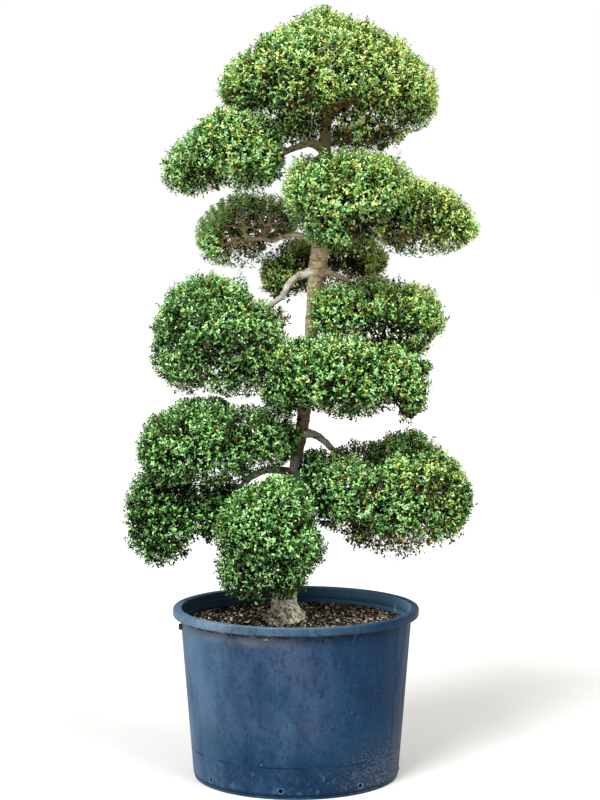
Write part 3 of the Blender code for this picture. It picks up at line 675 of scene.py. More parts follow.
def barkRelief(limb):
    # one skin over all that was joined, then lumps and a grain that runs up the wood
    guide = bpy.data.objects.new("grainGuide", None)
    guide.scale = (1, 1, bark["grainStretch"])
    bpy.context.scene.collection.objects.link(guide)
    modify(limb, "REMESH", mode="VOXEL", voxel_size=bark["voxel"])
    modify(limb, "SMOOTH", iterations=4)
    lumps = cloudTexture(bark["lumpSize"])
    modify(limb, "DISPLACE", texture=lumps, strength=bark["lumpHeight"], mid_level=0.62)
    grain = cloudTexture(bark["grainSize"], 3)
    modify(limb, "DISPLACE", texture=grain, strength=bark["grainHeight"], mid_level=0.55)
    limb.modifiers[-1].texture_coords = "OBJECT"
    limb.modifiers[-1].texture_coords_object = guide
    bpy.context.view_layer.update()
    applyAll(limb)
    bpy.data.objects.remove(guide)


def makeLimbs():
    coats = {name: barkMaterial(name) for name in barkColours}
    for name, route in limbRoutes.items():
        if name == "trunk":
            toes = [branchTube(metres(toe)) for toe in rootToes]
            toes += [rootKnuckle(*place, radius=radius) for *place, radius in metres(rootKnuckles)]
            limb = joinInto(branchTube(route), *toes)
        else:
            *place, radius = route[0]
            limb = branchTube([(*place, radius * bark["rootSwell"]), *route[1:]])
        barkRelief(limb)
        finishPiece(limb, coats[barkOf.get(name, "barkTan")])
        handOver(limb, "trunkWood" if name == "trunk" else name.replace("bough", "limb"), "bark", name)


makeLimbs()
print("trunk and boughs made")


# Foliage. Each mass hangs on its bough's tip, or on the trunk at a level, and keeps to rounded lobes, in
# millimetres: centre x, y, z, then reach across, deep, up and down, then degrees of tilt, right side up.
# bare lists balls, x, y, z and radius, in which the twigs carry few leaves.
# light shifts a mass's tints lighter as painted light or darker as painted shade, warm shifts them warmer,
# twigs names a twig colour and dead is the share of brown leaves there.

foliage = {
    "crown": {
        "limb": "trunk",
        "lobes": [
            (120, 0, 2490, 350, 360, 260, 130), (300, 0, 2490, 200, 280, 155, 140),
            (-90, 0, 2490, 180, 260, 150, 120), (78, 0, 2670, 100, 160, 120, 70),
            (205, -20, 2660, 90, 140, 90, 60), (400, 0, 2460, 110, 170, 100, 120),
            (10, 40, 2390, 150, 200, 110, 80), (250, 20, 2370, 160, 200, 110, 115),
        ],
        "bare": [
            (140, -240, 2385, 50), (120, -140, 2320, 75), (250, -50, 2270, 100), (300, -100, 2290, 80),
        ],
        "twigs": "twigRed",
    },
    "crown_left": {
        "lobes": [
            (-210, -70, 2305, 160, 210, 135, 110, 20), (-335, -70, 2220, 140, 180, 120, 100, 16),
            (-130, -50, 2340, 90, 170, 90, 140), (-170, -70, 2240, 130, 170, 90, 115),
        ],
        "light": 0.2,
    },
    "upper_front": {
        "limb": "trunk",
        "level": 2.08,
        "lobes": [
            (165, -140, 2130, 215, 250, 140, 160), (170, -140, 2020, 150, 200, 90, 125),
            (270, -140, 2160, 130, 200, 110, 140), (60, -120, 2200, 80, 130, 80, 80),
        ],
        "bare": [(260, -240, 1985, 90), (330, -200, 1960, 80)],
        "light": 0.3, "warm": -0.1,
    },
    "upper_right": {
        "lobes": [
            (485, 20, 2035, 155, 200, 110, 120, -14), (410, 20, 2070, 120, 190, 110, 170, -15),
            (590, 20, 1990, 70, 120, 60, 50),
        ],
        "bare": [(330, -100, 1965, 80)],
        "twigs": "twigTan",
    },
    "upper_left": {
        "lobes": [
            (-165, 140, 2000, 160, 190, 130, 130, 8), (-270, 120, 1960, 90, 150, 100, 90),
            (-80, 140, 2020, 100, 150, 100, 90),
        ],
        "bare": [(-130, -20, 1970, 150), (-50, 60, 1980, 120)],
        "twigs": "twigTan", "light": 0.95, "warm": 0.22, "dead": 0.08,
    },
    "upper_back": {
        "lobes": [
            (10, 240, 1860, 150, 170, 115, 110), (200, 240, 1880, 140, 170, 100, 90),
            (-50, 200, 1810, 80, 130, 70, 80),
        ],
        "bare": [(130, 70, 1850, 130)],
        "light": -0.1, "warm": 0.45,
    },
    "middle_left": {
        "lobes": [
            (-310, -20, 1630, 205, 250, 200, 200), (-360, -20, 1540, 150, 190, 130, 140),
            (-170, -20, 1570, 140, 180, 140, 165), (-110, -20, 1670, 80, 110, 70, 100),
            (-240, -20, 1500, 140, 160, 100, 110),
        ],
        "bare": [(-45, -60, 1660, 50), (-60, -40, 1730, 50)],
        "twigs": "twigGrey",
    },
    "middle_right": {
        "lobes": [
            (320, 60, 1700, 220, 220, 120, 120), (140, -30, 1710, 100, 140, 105, 120),
            (350, 100, 1570, 120, 150, 80, 80), (450, 50, 1660, 90, 130, 90, 70),
            (430, 50, 1600, 70, 120, 70, 70),
        ],
        "light": 0.2,
    },
    "middle_front": {
        "limb": "trunk",
        "level": 1.45,
        "lobes": [
            (170, -150, 1460, 280, 240, 160, 140), (10, -150, 1490, 130, 170, 110, 130),
            (-10, -130, 1400, 110, 130, 80, 90), (395, -120, 1420, 85, 170, 110, 120),
            (440, -120, 1510, 60, 80, 40, 40),
        ],
        "bare": [(280, -250, 1335, 60), (360, -200, 1335, 55)],
        "light": -0.5,
    },
    "middle_back": {
        "lobes": [(170, 250, 1450, 190, 180, 110, 100)],
    },
    "lower_left_top": {
        "limb": "trunk",
        "level": 1.23,
        "lobes": [
            (-330, -30, 1240, 240, 240, 120, 170), (-450, -30, 1190, 130, 200, 100, 160),
            (-120, -60, 1250, 140, 180, 110, 125), (-50, -70, 1280, 70, 120, 80, 140),
            (-330, -20, 1320, 100, 150, 90, 70),
        ],
    },
    "lower_left": {
        "lobes": [
            (-455, 50, 960, 170, 210, 190, 130), (-310, 40, 970, 120, 160, 170, 130),
            (-495, 30, 895, 125, 150, 100, 125, -30),
        ],
        "bare": [(-240, -80, 850, 80)],
        "light": -0.6,
    },
    "lower_front": {
        "limb": "trunk",
        "level": 0.9,
        "lobes": [
            (-100, -220, 920, 190, 210, 175, 190), (-50, -200, 1000, 100, 150, 120, 100),
            (-145, -200, 790, 135, 150, 130, 110), (10, -200, 860, 90, 140, 90, 80),
            (-40, -190, 760, 80, 130, 90, 90),
        ],
    },
    "lower_back": {
        "lobes": [(-110, 220, 900, 160, 170, 150, 140)],
    },
    "lower_right": {
        "lobes": [
            (400, -20, 1035, 225, 250, 210, 190), (400, -20, 1200, 90, 140, 70, 60),
            (80, -50, 1120, 80, 120, 100, 80), (180, -60, 1050, 180, 200, 150, 150),
            (340, -20, 930, 190, 180, 110, 120), (510, -20, 985, 145, 180, 130, 125),
            (200, -30, 1130, 110, 140, 90, 60),
        ],
        "bare": [(215, -80, 1195, 55), (420, -150, 845, 80), (300, -130, 850, 70)],
        "twigs": "twigTan", "light": -0.2,
    },
}
plainMass = {"twigs": "twigBrown", "light": 0, "warm": 0, "dead": 0.45}


def metricLobe(x, y, z, across, deep, up, down, tilt=0):
    return (*metres([(x, y, z, across, deep, up, down)])[0], math.radians(tilt))


def fullMass(name, mass):
    lobes = [metricLobe(*lobe) for lobe in mass["lobes"]]
    bare = metres(mass.get("bare", []))
    return {"limb": "bough_" + name, **plainMass, **mass, "lobes": lobes, "bare": bare}


foliage = {name: fullMass(name, mass) for name, mass in foliage.items()}

growth = {
    "seed": 17,
    "lobeBlend": 0.012,
    "near": 0.75,  # masses whose hearts are closer than this keep clear of each other
    "massGap": 0.008,
    "limbGap": 0.004,
    "slack": 0.022,  # how far a leaf may stand out of its mass
    "aboveBox": 0.004,  # and how far above the tree's own height
    "relief": 0.028,  # how much the outline is ruffled
    "ruffles": [(0.2, 0.8, 21), (0.085, 1, 3), (0.032, 0.6, 9)],  # size, share and seed of each
    "lift": 0.45,  # how much a shoot turns upwards
    "stray": 0.42,
    "lengthSpread": (0.75, 1.2),
    "longShare": 0.05,  # some shoots reach further
    "longReach": (0.01, 0.032),
    "underLoss": 0.75,  # shares of the leaves lost on undersides and in hollows
    "hollowLoss": 0.6,
    "bareLeaves": 0.16,  # shares of the leaves and shoots left where a mass shows its twigs
    "bareShoots": 0.3,
    "forkReach": 0.3,
    "forkSway": 0.2,
    "marchStep": 0.012,
    "marchEnd": 0.66,
    "twigRadius": 0.0012,
    "twigSwell": 0.36,  # a twig's radius goes with the number of shoots it carries to this power
    "twigSides": [(3, 1, 8), (4, 8, 80), (7, 80, 1e9)],  # sides, from over and up to how many shoots
    "stemRadius": 0.011,
}

shoots = {
    "outer": {"spacing": 0.0195, "inset": 0.004, "length": 0.052, "leaves": 12, "innerShade": 0, "size": 1},
    "inner": {"spacing": 0.04, "inset": 0.052, "length": 0.052, "leaves": 8, "innerShade": 1, "size": 1.25},
}

# long shoots that stand out of a mass: foot and tip, in millimetres
sprouts = {
    "crown": [
        (90, 0, 2715, 95, 0, 2800), (100, 20, 2700, 110, 24, 2776), (80, -20, 2705, 82, -26, 2782),
        (96, 10, 2705, 101, 12, 2797), (88, -12, 2705, 88, -16, 2790), (102, -16, 2705, 106, -20, 2796),
        (78, 10, 2700, 73, 14, 2768), (53, 0, 2700, 48, 0, 2774), (170, -20, 2690, 166, -22, 2758),
        (194, 0, 2690, 198, 2, 2756), (210, -40, 2690, 222, -50, 2752),
    ],
    "middle_left": [
        (-188, -20, 1745, -199, -24, 1846), (-180, -30, 1740, -186, -36, 1826),
        (-192, -15, 1745, -206, -20, 1838), (-184, -34, 1740, -178, -38, 1806),
        (-196, -28, 1745, -210, -32, 1818), (-385, -30, 1745, -392, -36, 1832),
        (-352, 10, 1770, -354, 14, 1846), (-300, -10, 1790, -302, -16, 1846),
    ],
    "upper_front": [(340, -120, 2190, 368, -130, 2264), (310, -150, 2190, 332, -160, 2244)],
    "upper_right": [(600, 0, 1960, 652, 0, 1972)],
    "lower_right": [(330, -60, 1225, 326, -66, 1268), (395, -40, 1245, 405, -44, 1282)],
}
sprouts = {name: np.array(metres(rows)) for name, rows in sprouts.items()}

leaf = {
    "length": 0.0138,
    "lengthSpread": 0.22,
    "turn": 2.39996,  # from each leaf on a shoot to the next
    "lean": 1.25,
    "leanLoss": 0.35,  # from the foot of a shoot to its tip
    "stray": 0.3,
    "tip": -0.1,  # how far the tip curls down, as a share of the length
    # the edge of one side: along, out and up as shares of the length
    "edge": [(0.32, 0.25, 0.09), (0.74, 0.205, 0.072)],
}


def lobeDepth(lobe, points):
    x, y, z, across, deep, up, down, tilt = lobe
    away = points - np.array((x, y, z)) + 1e-9
    along = away[:, 0] * math.cos(tilt) + away[:, 2] * math.sin(tilt)
    rise = away[:, 2] * math.cos(tilt) - away[:, 0] * math.sin(tilt)
    tall = np.where(rise > 0, up, down)
    share = np.sqrt((along / across) ** 2 + (away[:, 1] / deep) ** 2 + (rise / tall) ** 2)
    return np.linalg.norm(away, axis=1) * (1 - 1 / share)


def massDepth(name, points):
    # how far points lie outside a mass, negative inside it
    blend = growth["lobeBlend"]
    depths = [lobeDepth(lobe, points) for lobe in foliage[name]["lobes"]]
    return -blend * np.log(sum(np.exp(-np.clip(depth, -0.5, 0.5) / blend) for depth in depths))


def heartOf(name):
    lobes = np.array(foliage[name]["lobes"])
    weight = lobes[:, 3] * lobes[:, 4] * (lobes[:, 5] + lobes[:, 6])
    lifted = lobes[:, :3] + np.array((0, 0, 1)) * ((lobes[:, 5] - lobes[:, 6]) / 4)[:, None]
    return (lifted * weight[:, None]).sum(0) / weight.sum()


hearts = {name: heartOf(name) for name in foliage}


def inSpace(name, points, inset, gap):
    own = massDepth(name, points)
    inside = own < -inset
    for other in foliage:
        if other != name and np.linalg.norm(hearts[other] - hearts[name]) < growth["near"]:
            inside &= own + gap < massDepth(other, points)
    return inside


def limbClear(points):
    clear = np.ones(len(points), bool)
    for route in limbRoutes.values():
        rows = np.array(route)
        for start, end in zip(rows, rows[1:]):
            run = end[:3] - start[:3]
            share = np.clip(((points - start[:3]) @ run) / (run @ run), 0, 1)
            gap = np.linalg.norm(points - start[:3] - share[:, None] * run, axis=1)
            clear &= gap - (start[3] + share * (end[3] - start[3])) > growth["limbGap"]
    return clear


def ballGaps(name, points):
    for *middle, radius in foliage[name]["bare"]:
        yield np.linalg.norm(points - np.array(middle), axis=-1), radius


def unit(vectors):
    return vectors / np.maximum(np.linalg.norm(vectors, axis=-1, keepdims=True), 1e-9)


def outward(name, points):
    steps = 0.004 * np.eye(3)
    slopes = [massDepth(name, points + step) - massDepth(name, points - step) for step in steps]
    return unit(np.stack(slopes, 1))


def spreadDirections(count):
    # evenly over a ball
    index = np.arange(count) + 0.5
    height = 1 - 2 * index / count
    turn = math.pi * (1 + math.sqrt(5)) * index
    flat = np.sqrt(1 - height**2)
    return np.stack([flat * np.cos(turn), flat * np.sin(turn), height], 1)


def surfacePoints(name, inset, spacing):
    # points spread over the outline of a mass, at a depth below it
    heart = hearts[name]
    lobes = foliage[name]["lobes"]
    reach = max(np.linalg.norm(heart - np.array(lobe[:3])) + max(lobe[3:7]) for lobe in lobes)
    directions = spreadDirections(int(4 * math.pi * (reach / spacing) ** 2 * 1.6))
    near = np.zeros(len(directions))
    going = np.ones(len(directions), bool)
    step = growth["marchStep"]
    for distance in np.arange(step, growth["marchEnd"], step):
        going[going] = inSpace(name, heart + directions[going] * distance, inset, growth["massGap"])
        near[going] = distance
    for share in (0.5, 0.25, 0.125):
        trial = near + step * share
        inside = inSpace(name, heart + directions * trial[:, None], inset, growth["massGap"])
        near = np.where(inside, trial, near)
    places = heart + directions * near[:, None]
    places = places[(massDepth(name, places) > -inset - 0.008) & (near > 0.05)]
    cells = np.floor(places / spacing).astype(int)
    _, first = np.unique(cells, axis=0, return_index=True)
    return places[np.sort(first)]


def growLimb(start, tips, limbs, rng):
    # one stem that forks until each branch carries one tip: start, end and how many tips
    if len(tips) == 1:
        limbs.append((*start, *tips[0], 1))
        return
    middle = tips.mean(0)
    knot = start + (middle - start) * growth["forkReach"]
    knot = knot + rng.uniform(-0.06, 0.06, 3) * np.linalg.norm(middle - start)
    limbs.append((*start, *knot, len(tips)))
    spread = np.linalg.svd(tips - middle, full_matrices=False)[2][0]
    spread = spread + rng.uniform(-growth["forkSway"], growth["forkSway"], 3)
    order = np.argsort((tips - middle) @ spread)
    half = len(tips) // 2
    for side in (order[:half], order[half:]):
        growLimb(knot, tips[side], limbs, rng)


def swing(angle, first, second):
    # turns from the first way towards the second
    return np.cos(angle)[..., None] * first + np.sin(angle)[..., None] * second


def crossFrames(direction):
    helper = np.where(np.abs(direction[:, 2:3]) > 0.9, [[1.0, 0, 0]], [[0, 0, 1.0]])
    side = unit(np.cross(direction, helper))
    return side, np.cross(direction, side)


def repeatFaces(points, faces):
    # points has a row of places for each copy: every copy gets the same faces
    count, each = points.shape[:2]
    faces = np.array(faces)[None] + (np.arange(count) * each)[:, None, None]
    return points.reshape(-1, 3), faces.reshape(-1, 3)


def stepsRound(starts, ends, sides):
    side, front = crossFrames(unit(ends - starts))
    return swing(2 * math.pi * np.arange(sides) / sides, side[:, None], front[:, None])


def tubeArrays(starts, ends, startRadii, endRadii, sides):
    # open tubes from start to end
    ring = stepsRound(starts, ends, sides)
    low = starts[:, None] + ring * startRadii[:, None, None]
    high = ends[:, None] + ring * endRadii[:, None, None]
    k = np.arange(sides)
    j = (k + 1) % sides
    faces = np.concatenate([np.stack([k, j, j + sides], 1), np.stack([k, j + sides, k + sides], 1)])
    return repeatFaces(np.concatenate([low, high], 1), faces)


def spikeArrays(starts, ends, radii):
    # three-sided spikes, for the shoots
    low = starts[:, None] + stepsRound(starts, ends, 3) * radii[:, None, None]
    return repeatFaces(np.concatenate([low, ends[:, None]], 1), [(0, 1, 3), (1, 2, 3), (2, 0, 3)])


def arrayPiece(points, faces, tints):
    mesh = bpy.data.meshes.new("piece")
    mesh.vertices.add(len(points))
    mesh.vertices.foreach_set("co", points.astype(np.float32).ravel())
    mesh.loops.add(faces.size)
    mesh.loops.foreach_set("vertex_index", faces.astype(np.int32).ravel())
    mesh.polygons.add(len(faces))
    mesh.polygons.foreach_set("loop_start", np.arange(0, faces.size, 3, dtype=np.int32))
    mesh.polygons.foreach_set("material_index", tints.astype(np.int32))
    mesh.update(calc_edges=True)
    mesh.shade_smooth()
    obj = bpy.data.objects.new("piece", mesh)
    bpy.context.scene.collection.objects.link(obj)
    return obj


def stack(parts):
    # several arrays of points and faces as one
    points = np.concatenate([part[0] for part in parts])
    shift = np.cumsum([0] + [len(part[0]) for part in parts[:-1]])
    faces = np.concatenate([part[1] + offset for part, offset in zip(parts, shift)])
    return points, faces


# colour and gloss of each: leafShade, near black, is painted shade for leaves deep in the masses, and
# leafLime and leafMint are partly painted highlights; the shaded ones are dull
leafTints = {
    "leafShade": ((0.002, 0.006, 0.002), 0.02),
    "leafDeep": ((0.023, 0.064, 0.012), 0.06),
    "leafCool": ((0.074, 0.224, 0.068), 0.28),
    "leafGreen": ((0.108, 0.288, 0.05), 0.3),
    "leafOlive": ((0.21, 0.33, 0.05), 0.3),
    "leafBright": ((0.24, 0.53, 0.13), 0.35),
    "leafFresh": ((0.45, 0.62, 0.125), 0.35),
    "leafLime": ((0.67, 0.78, 0.285), 0.4),
    "leafMint": ((0.43, 0.75, 0.32), 0.4),
    "leafYellow": ((0.78, 0.42, 0.04), 0.3),
    "leafDead": ((0.33, 0.165, 0.06), 0.05),
}
leafMaterials = [startMaterial(name, colour, 0.42, gloss) for name, (colour, gloss) in leafTints.items()]

# colour, roughness and gloss; twigBrown, on the fine twigs inside the masses, is dark brown darkened further
# as painted shade
twigTints = {
    "twigTan": ((0.47, 0.35, 0.23), 0.8, 0.1),
    "twigGrey": ((0.46, 0.42, 0.35), 0.8, 0.1),
    "twigYoung": ((0.2, 0.23, 0.065), 0.6, 0.1),
    "twigRed": ((0.15, 0.1, 0.05), 0.8, 0.05),
    "twigBrown": ((0.045, 0.029, 0.018), 0.8, 0.05),
}
twigMaterials = {name: startMaterial(name, *finish) for name, finish in twigTints.items()}

# what makes a leaf's tint lighter, in steps from shade over deep, middle and bright to lime: painted light
# on leaves that face up or stand out, painted shade in the hollows and on the inner leaves, and lighter
# tips, as young growth and as painted light
tinting = {
    "start": 1.85,
    "towardsTip": 2.2,
    "upwards": 0.5,
    "standingOut": 1.2,
    "innerShade": -2.2,
    "spraySpread": 0.55,
    "leafSpread": 1.1,
    "warmRight": 0.55,
    "warmTop": 0.35,
    "warmShare": 0.26,  # of the sprays, and how it goes with the warmth
    "warmRise": 1.1,
    "coolShare": 0.5,
    "coolRise": -0.8,
    "yellowShare": 0.005,
}


def roughField(points, scale, seed):
    return np.array([noise.noise(Vector(point) / scale + Vector((seed, 0, 0))) for point in points])


def makeShoots(name, kind, rng):
    # where each shoot starts and ends, which way it points, which way is out and how far it stands out
    rule = shoots[kind]
    ends = surfacePoints(name, rule["inset"], rule["spacing"])
    ends = ends + rng.uniform(-0.3, 0.3, ends.shape) * rule["spacing"]
    facing = outward(name, ends)
    lift = np.array((0, 0, growth["lift"])) + rng.uniform(-growth["stray"], growth["stray"], ends.shape)
    direction = unit(facing * 0.8 + lift)
    relief = sum(share * roughField(ends, scale, seed) for scale, share, seed in growth["ruffles"])
    ends = ends + facing * (relief * growth["relief"] - 0.004)[:, None]
    long = rng.random(len(ends)) < growth["longShare"]
    ends = ends + direction * (long * rng.uniform(*growth["longReach"], len(ends)))[:, None]
    length = rule["length"] * rng.uniform(*growth["lengthSpread"], len(ends))
    starts = ends - direction * length[:, None]
    if kind == "outer" and name in sprouts:
        rows = sprouts[name]
        starts = np.concatenate([starts, rows[:, :3]])
        ends = np.concatenate([ends, rows[:, 3:]])
        direction = unit(ends - starts)
        facing = np.concatenate([facing, direction[-len(rows):]])
        relief = np.concatenate([relief, np.full(len(rows), 0.3)])
    return starts, ends, direction, facing, relief


def tintLeaves(name, kind, roots, along, facing, relief, dead, rng):
    # the right and the top are warmer
    mass = foliage[name]
    warm = tinting["warmRight"] * (roots[..., 0] - 0.05) + tinting["warmTop"] * (roots[..., 2] - 1.75)
    warm = np.clip(warm, -0.35, 0.6) + mass["warm"]
    # painted light and shade: the mass's light, leaves facing up and standing out lighter, hollows and the
    # inner leaves darker; tips lighter as young growth and as painted light
    value = tinting["start"] + mass["light"] + tinting["towardsTip"] * (along - 0.6) + warm
    value = value + tinting["upwards"] * facing[:, None, 2] + tinting["standingOut"] * relief[:, None]
    value = value + rng.normal(0, tinting["spraySpread"], (len(roots), 1))
    value = value + rng.normal(0, tinting["leafSpread"], along.shape) + tinting["innerShade"] * shoots[kind]["innerShade"]
    step = np.clip(np.round(value), 0, 4).astype(int)
    warmSpray = rng.random((len(roots), 1)) < tinting["warmShare"] + tinting["warmRise"] * warm
    coolSpray = rng.random((len(roots), 1)) < tinting["coolShare"] + tinting["coolRise"] * warm
    middle = np.where(warmSpray, 4, np.where(coolSpray, 2, 3))
    bright = np.where(warmSpray, 6, 5)
    brightest = np.where(warmSpray, 7, 8)
    tint = np.choose(step, [np.zeros_like(middle), np.ones_like(middle), middle, bright, brightest])
    yellow = rng.random(along.shape) < tinting["yellowShare"]
    return np.where(dead, 10, np.where(yellow, 9, tint))


def leafArrays(name, kind, starts, ends, direction, facing, relief, rng):
    count = len(starts)
    each = shoots[kind]["leaves"]

    def jitter(reach):
        return rng.uniform(-reach, reach, (count, each))

    along = np.clip(((np.arange(each) + 0.8) / each)[None] + jitter(0.02), 0.05, 1)
    roots = starts[:, None] + (ends - starts)[:, None] * (0.12 + 0.88 * along)[..., None]
    side, front = crossFrames(direction)
    turn = rng.uniform(0, 6.28, (count, 1)) + leaf["turn"] * np.arange(each)[None] + jitter(leaf["stray"])
    radial = swing(turn, side[:, None], front[:, None])
    lean = leaf["lean"] - leaf["leanLoss"] * along + jitter(leaf["stray"])
    pointing = unit(swing(lean, direction[:, None], radial))
    upper = direction[:, None] - (direction[:, None] * pointing).sum(-1, keepdims=True) * pointing
    upper = unit(upper + 0.25 * rng.uniform(-1, 1, upper.shape))
    across = unit(np.cross(pointing, upper))
    upper = np.cross(across, pointing)
    length = leaf["length"] * (1 + leaf["lengthSpread"] * jitter(1)) * (1.1 - 0.25 * along)
    length = length * shoots[kind]["size"]

    under = np.clip((-facing[:, 2] - 0.35) / 0.5, 0, 1)
    keep = rng.random((count, each)) > under[:, None] * growth["underLoss"]
    hollow = np.clip((-relief - 0.22) / 0.25, 0, 1)
    keep &= rng.random((count, each)) > hollow[:, None] * growth["hollowLoss"]
    dead = np.zeros((count, each), bool)
    for gap, radius in ballGaps(name, roots):
        keep &= (gap + jitter(0.02) > radius) | (rng.random(gap.shape) < growth["bareLeaves"])
        dead |= (gap < radius) & (rng.random(gap.shape) < foliage[name]["dead"])
    tips = (roots + pointing * length[..., None]).reshape(-1, 3)
    free = np.arange(count) >= count - (len(sprouts.get(name, ())) if kind == "outer" else 0)
    keep &= inSpace(name, tips, -growth["slack"], growth["massGap"] / 2).reshape(count, each) | free[:, None]
    keep &= (limbClear(tips) & (tips[:, 2] < cadBox[1][2] + growth["aboveBox"])).reshape(count, each)
    tint = tintLeaves(name, kind, roots, along, facing, relief, dead, rng)

    keep = keep.ravel()
    root, along3, across3, upper3 = (
        part.reshape(-1, 3)[keep][:, None] for part in (roots, pointing, across, upper)
    )
    size = length.ravel()[keep][:, None, None]
    near, far = leaf["edge"]
    otherSide = [(place, -out, up) for place, out, up in (far, near)]
    shape = np.array([(0, 0, 0), near, far, (1, 0, leaf["tip"]), *otherSide])[None]
    points = root + size * (shape[..., :1] * along3 + shape[..., 1:2] * across3 + shape[..., 2:] * upper3)
    points, faces = repeatFaces(points, [(0, 1, 2), (0, 2, 3), (0, 3, 4), (0, 4, 5)])
    return points, faces, np.repeat(tint.ravel()[keep], 4)


def limbStart(name):
    mass = foliage[name]
    route = np.array(limbRoutes[mass["limb"]])
    if "level" not in mass:
        return route[-1, :3], route[-1, 3]
    heights = np.linspace(0, len(route) - 1, 400)
    centres = np.stack([np.interp(heights, range(len(route)), route[:, axis]) for axis in range(3)], 1)
    return centres[np.argmin(abs(centres[:, 2] - mass["level"]))], growth["stemRadius"]


def growTwigs(name, starts, rng):
    # the limbs that carry the shoots: spikes for the last ones, tubes for the rest
    limbs = []
    base, baseRadius = limbStart(name)
    growLimb(base, starts, limbs, rng)
    limbs = np.array(limbs)
    carried = limbs[:, 6]
    radii = np.minimum(growth["twigRadius"] * carried ** growth["twigSwell"], baseRadius)
    starts, ends = limbs[:, :3], limbs[:, 3:6]
    last = carried == 1
    parts = [spikeArrays(starts[last], ends[last], radii[last])]
    for sides, low, high in growth["twigSides"]:
        some = (carried > low) & (carried <= high)
        if some.any():
            parts.append(tubeArrays(starts[some], ends[some], radii[some], radii[some] * 0.9, sides))
    return parts


def makeMass(name, rng):
    leafParts = []
    twigParts = []
    starts = []
    for kind in shoots:
        sprays = makeShoots(name, kind, rng)
        start, end = sprays[:2]
        clear = inSpace(name, start, -growth["slack"], 0) & limbClear(start)
        for gap, radius in ballGaps(name, end):
            clear &= (gap > radius) | (rng.random(len(gap)) < growth["bareShoots"])
        sprays = [part[clear] for part in sprays]
        leafParts.append(leafArrays(name, kind, *sprays, rng))
        start, end = sprays[:2]
        twigParts.append(spikeArrays(start, end, np.full(len(start), growth["twigRadius"])))
        starts.append(start)
    twigParts += growTwigs(name, np.concatenate(starts), rng)
    # young outer shoots, then two kinds of fine twig, then the mass's own colour on the tubes
    kinds = np.repeat([0, 1, 1] + [2] * (len(twigParts) - 3), [len(faces) for _, faces in twigParts])
    twigs = arrayPiece(*stack(twigParts), kinds)
    for twigName in ("twigYoung", "twigBrown", foliage[name]["twigs"]):
        twigs.data.materials.append(twigMaterials[twigName])
    handOver(twigs, "twigs_" + name, "bark")
    leaves = arrayPiece(*stack(leafParts), np.concatenate([part[2] for part in leafParts]))
    for material in leafMaterials:
        leaves.data.materials.append(material)
    handOver(leaves, "leaves_" + name, "foliage", "foliage_" + name)
    faceCounts = len(leaves.data.polygons), len(twigs.data.polygons)
    print(name, "leaf and twig faces:", *faceCounts)
    return faceCounts


rng = np.random.default_rng(growth["seed"])
print("foliage made:", sum(np.array(makeMass(name, rng)) for name in foliage))


# Soil

soil = {
    "level": 0.57,
    "edge": 0.56,
    "rings": 16,
    "sectors": 96,
    "clods": [(0.09, 0.01), (0.022, 0.007), (0.008, 0.004)],  # size and height
}


def soilMaterial():
    material = startMaterial("soilDark", (0.008, 0.006, 0.005), 0.95, 0.2)
    paint((0.03, 0.021, 0.015), clouds(60, 0.42, 0.66, detail=8))
    paint((0.13, 0.095, 0.065), clouds(140, 0.62, 0.7))
    setBump(clouds(220, 0.3, 0.7, detail=8), 0.9, 0.004)
    return material


def makeSoil():
    radius = wallRadius(soil["edge"]) - pot["wallThickness"] - 0.0006
    disc = {"vertices": soil["sectors"], "radius": radius, "fill_type": "NGON"}
    bed = addShape(bpy.ops.mesh.primitive_circle_add, location=(0, 0, soil["edge"]), **disc)
    applyPlace(bed)
    editMode("SELECT")
    rings = soil["rings"]
    for i in range(rings):
        bpy.ops.mesh.inset(thickness=radius / (rings + 1), depth=(soil["level"] - soil["edge"]) / rings)
    bpy.ops.mesh.poke()
    objectMode()
    modify(bed, "SUBSURF", subdivision_type="SIMPLE", levels=2, render_levels=2)
    for size, height in soil["clods"]:
        modify(bed, "DISPLACE", texture=cloudTexture(size, 3), strength=height, mid_level=0.5)
    applyAll(bed)
    return finishPiece(bed, soilMaterial())


chips = {
    "count": 12200,
    "seed": 5,
    "size": (0.0024, 0.0074),
    "wallGap": 0.016,
    "trunkGap": 0.055,
    "shadeOnLeft": (-0.14, 0.4),  # left of here this share of the chips is dark, as painted shade
    "ring": [(1, 0), (0.4, 0.9), (-0.5, 0.8), (-1, 0), (-0.4, -0.9), (0.5, -0.8)],
    "colours": {
        "chipDark": ((0.009, 0.007, 0.006), 0.4),
        "chipBrown": ((0.115, 0.074, 0.05), 0.27),
        "chipTan": ((0.42, 0.33, 0.235), 0.21),
        "chipPale": ((0.96, 0.91, 0.81), 0.12),
    },
}


def soilHeights(bed, places):
    # the bed's height under each place, from its own faces
    heights = []
    for x, y in places:
        hit, point, _, _ = bed.ray_cast(Vector((x, y, 1)), Vector((0, 0, -1)))
        heights.append(point.z if hit else soil["level"])
    return np.array(heights)


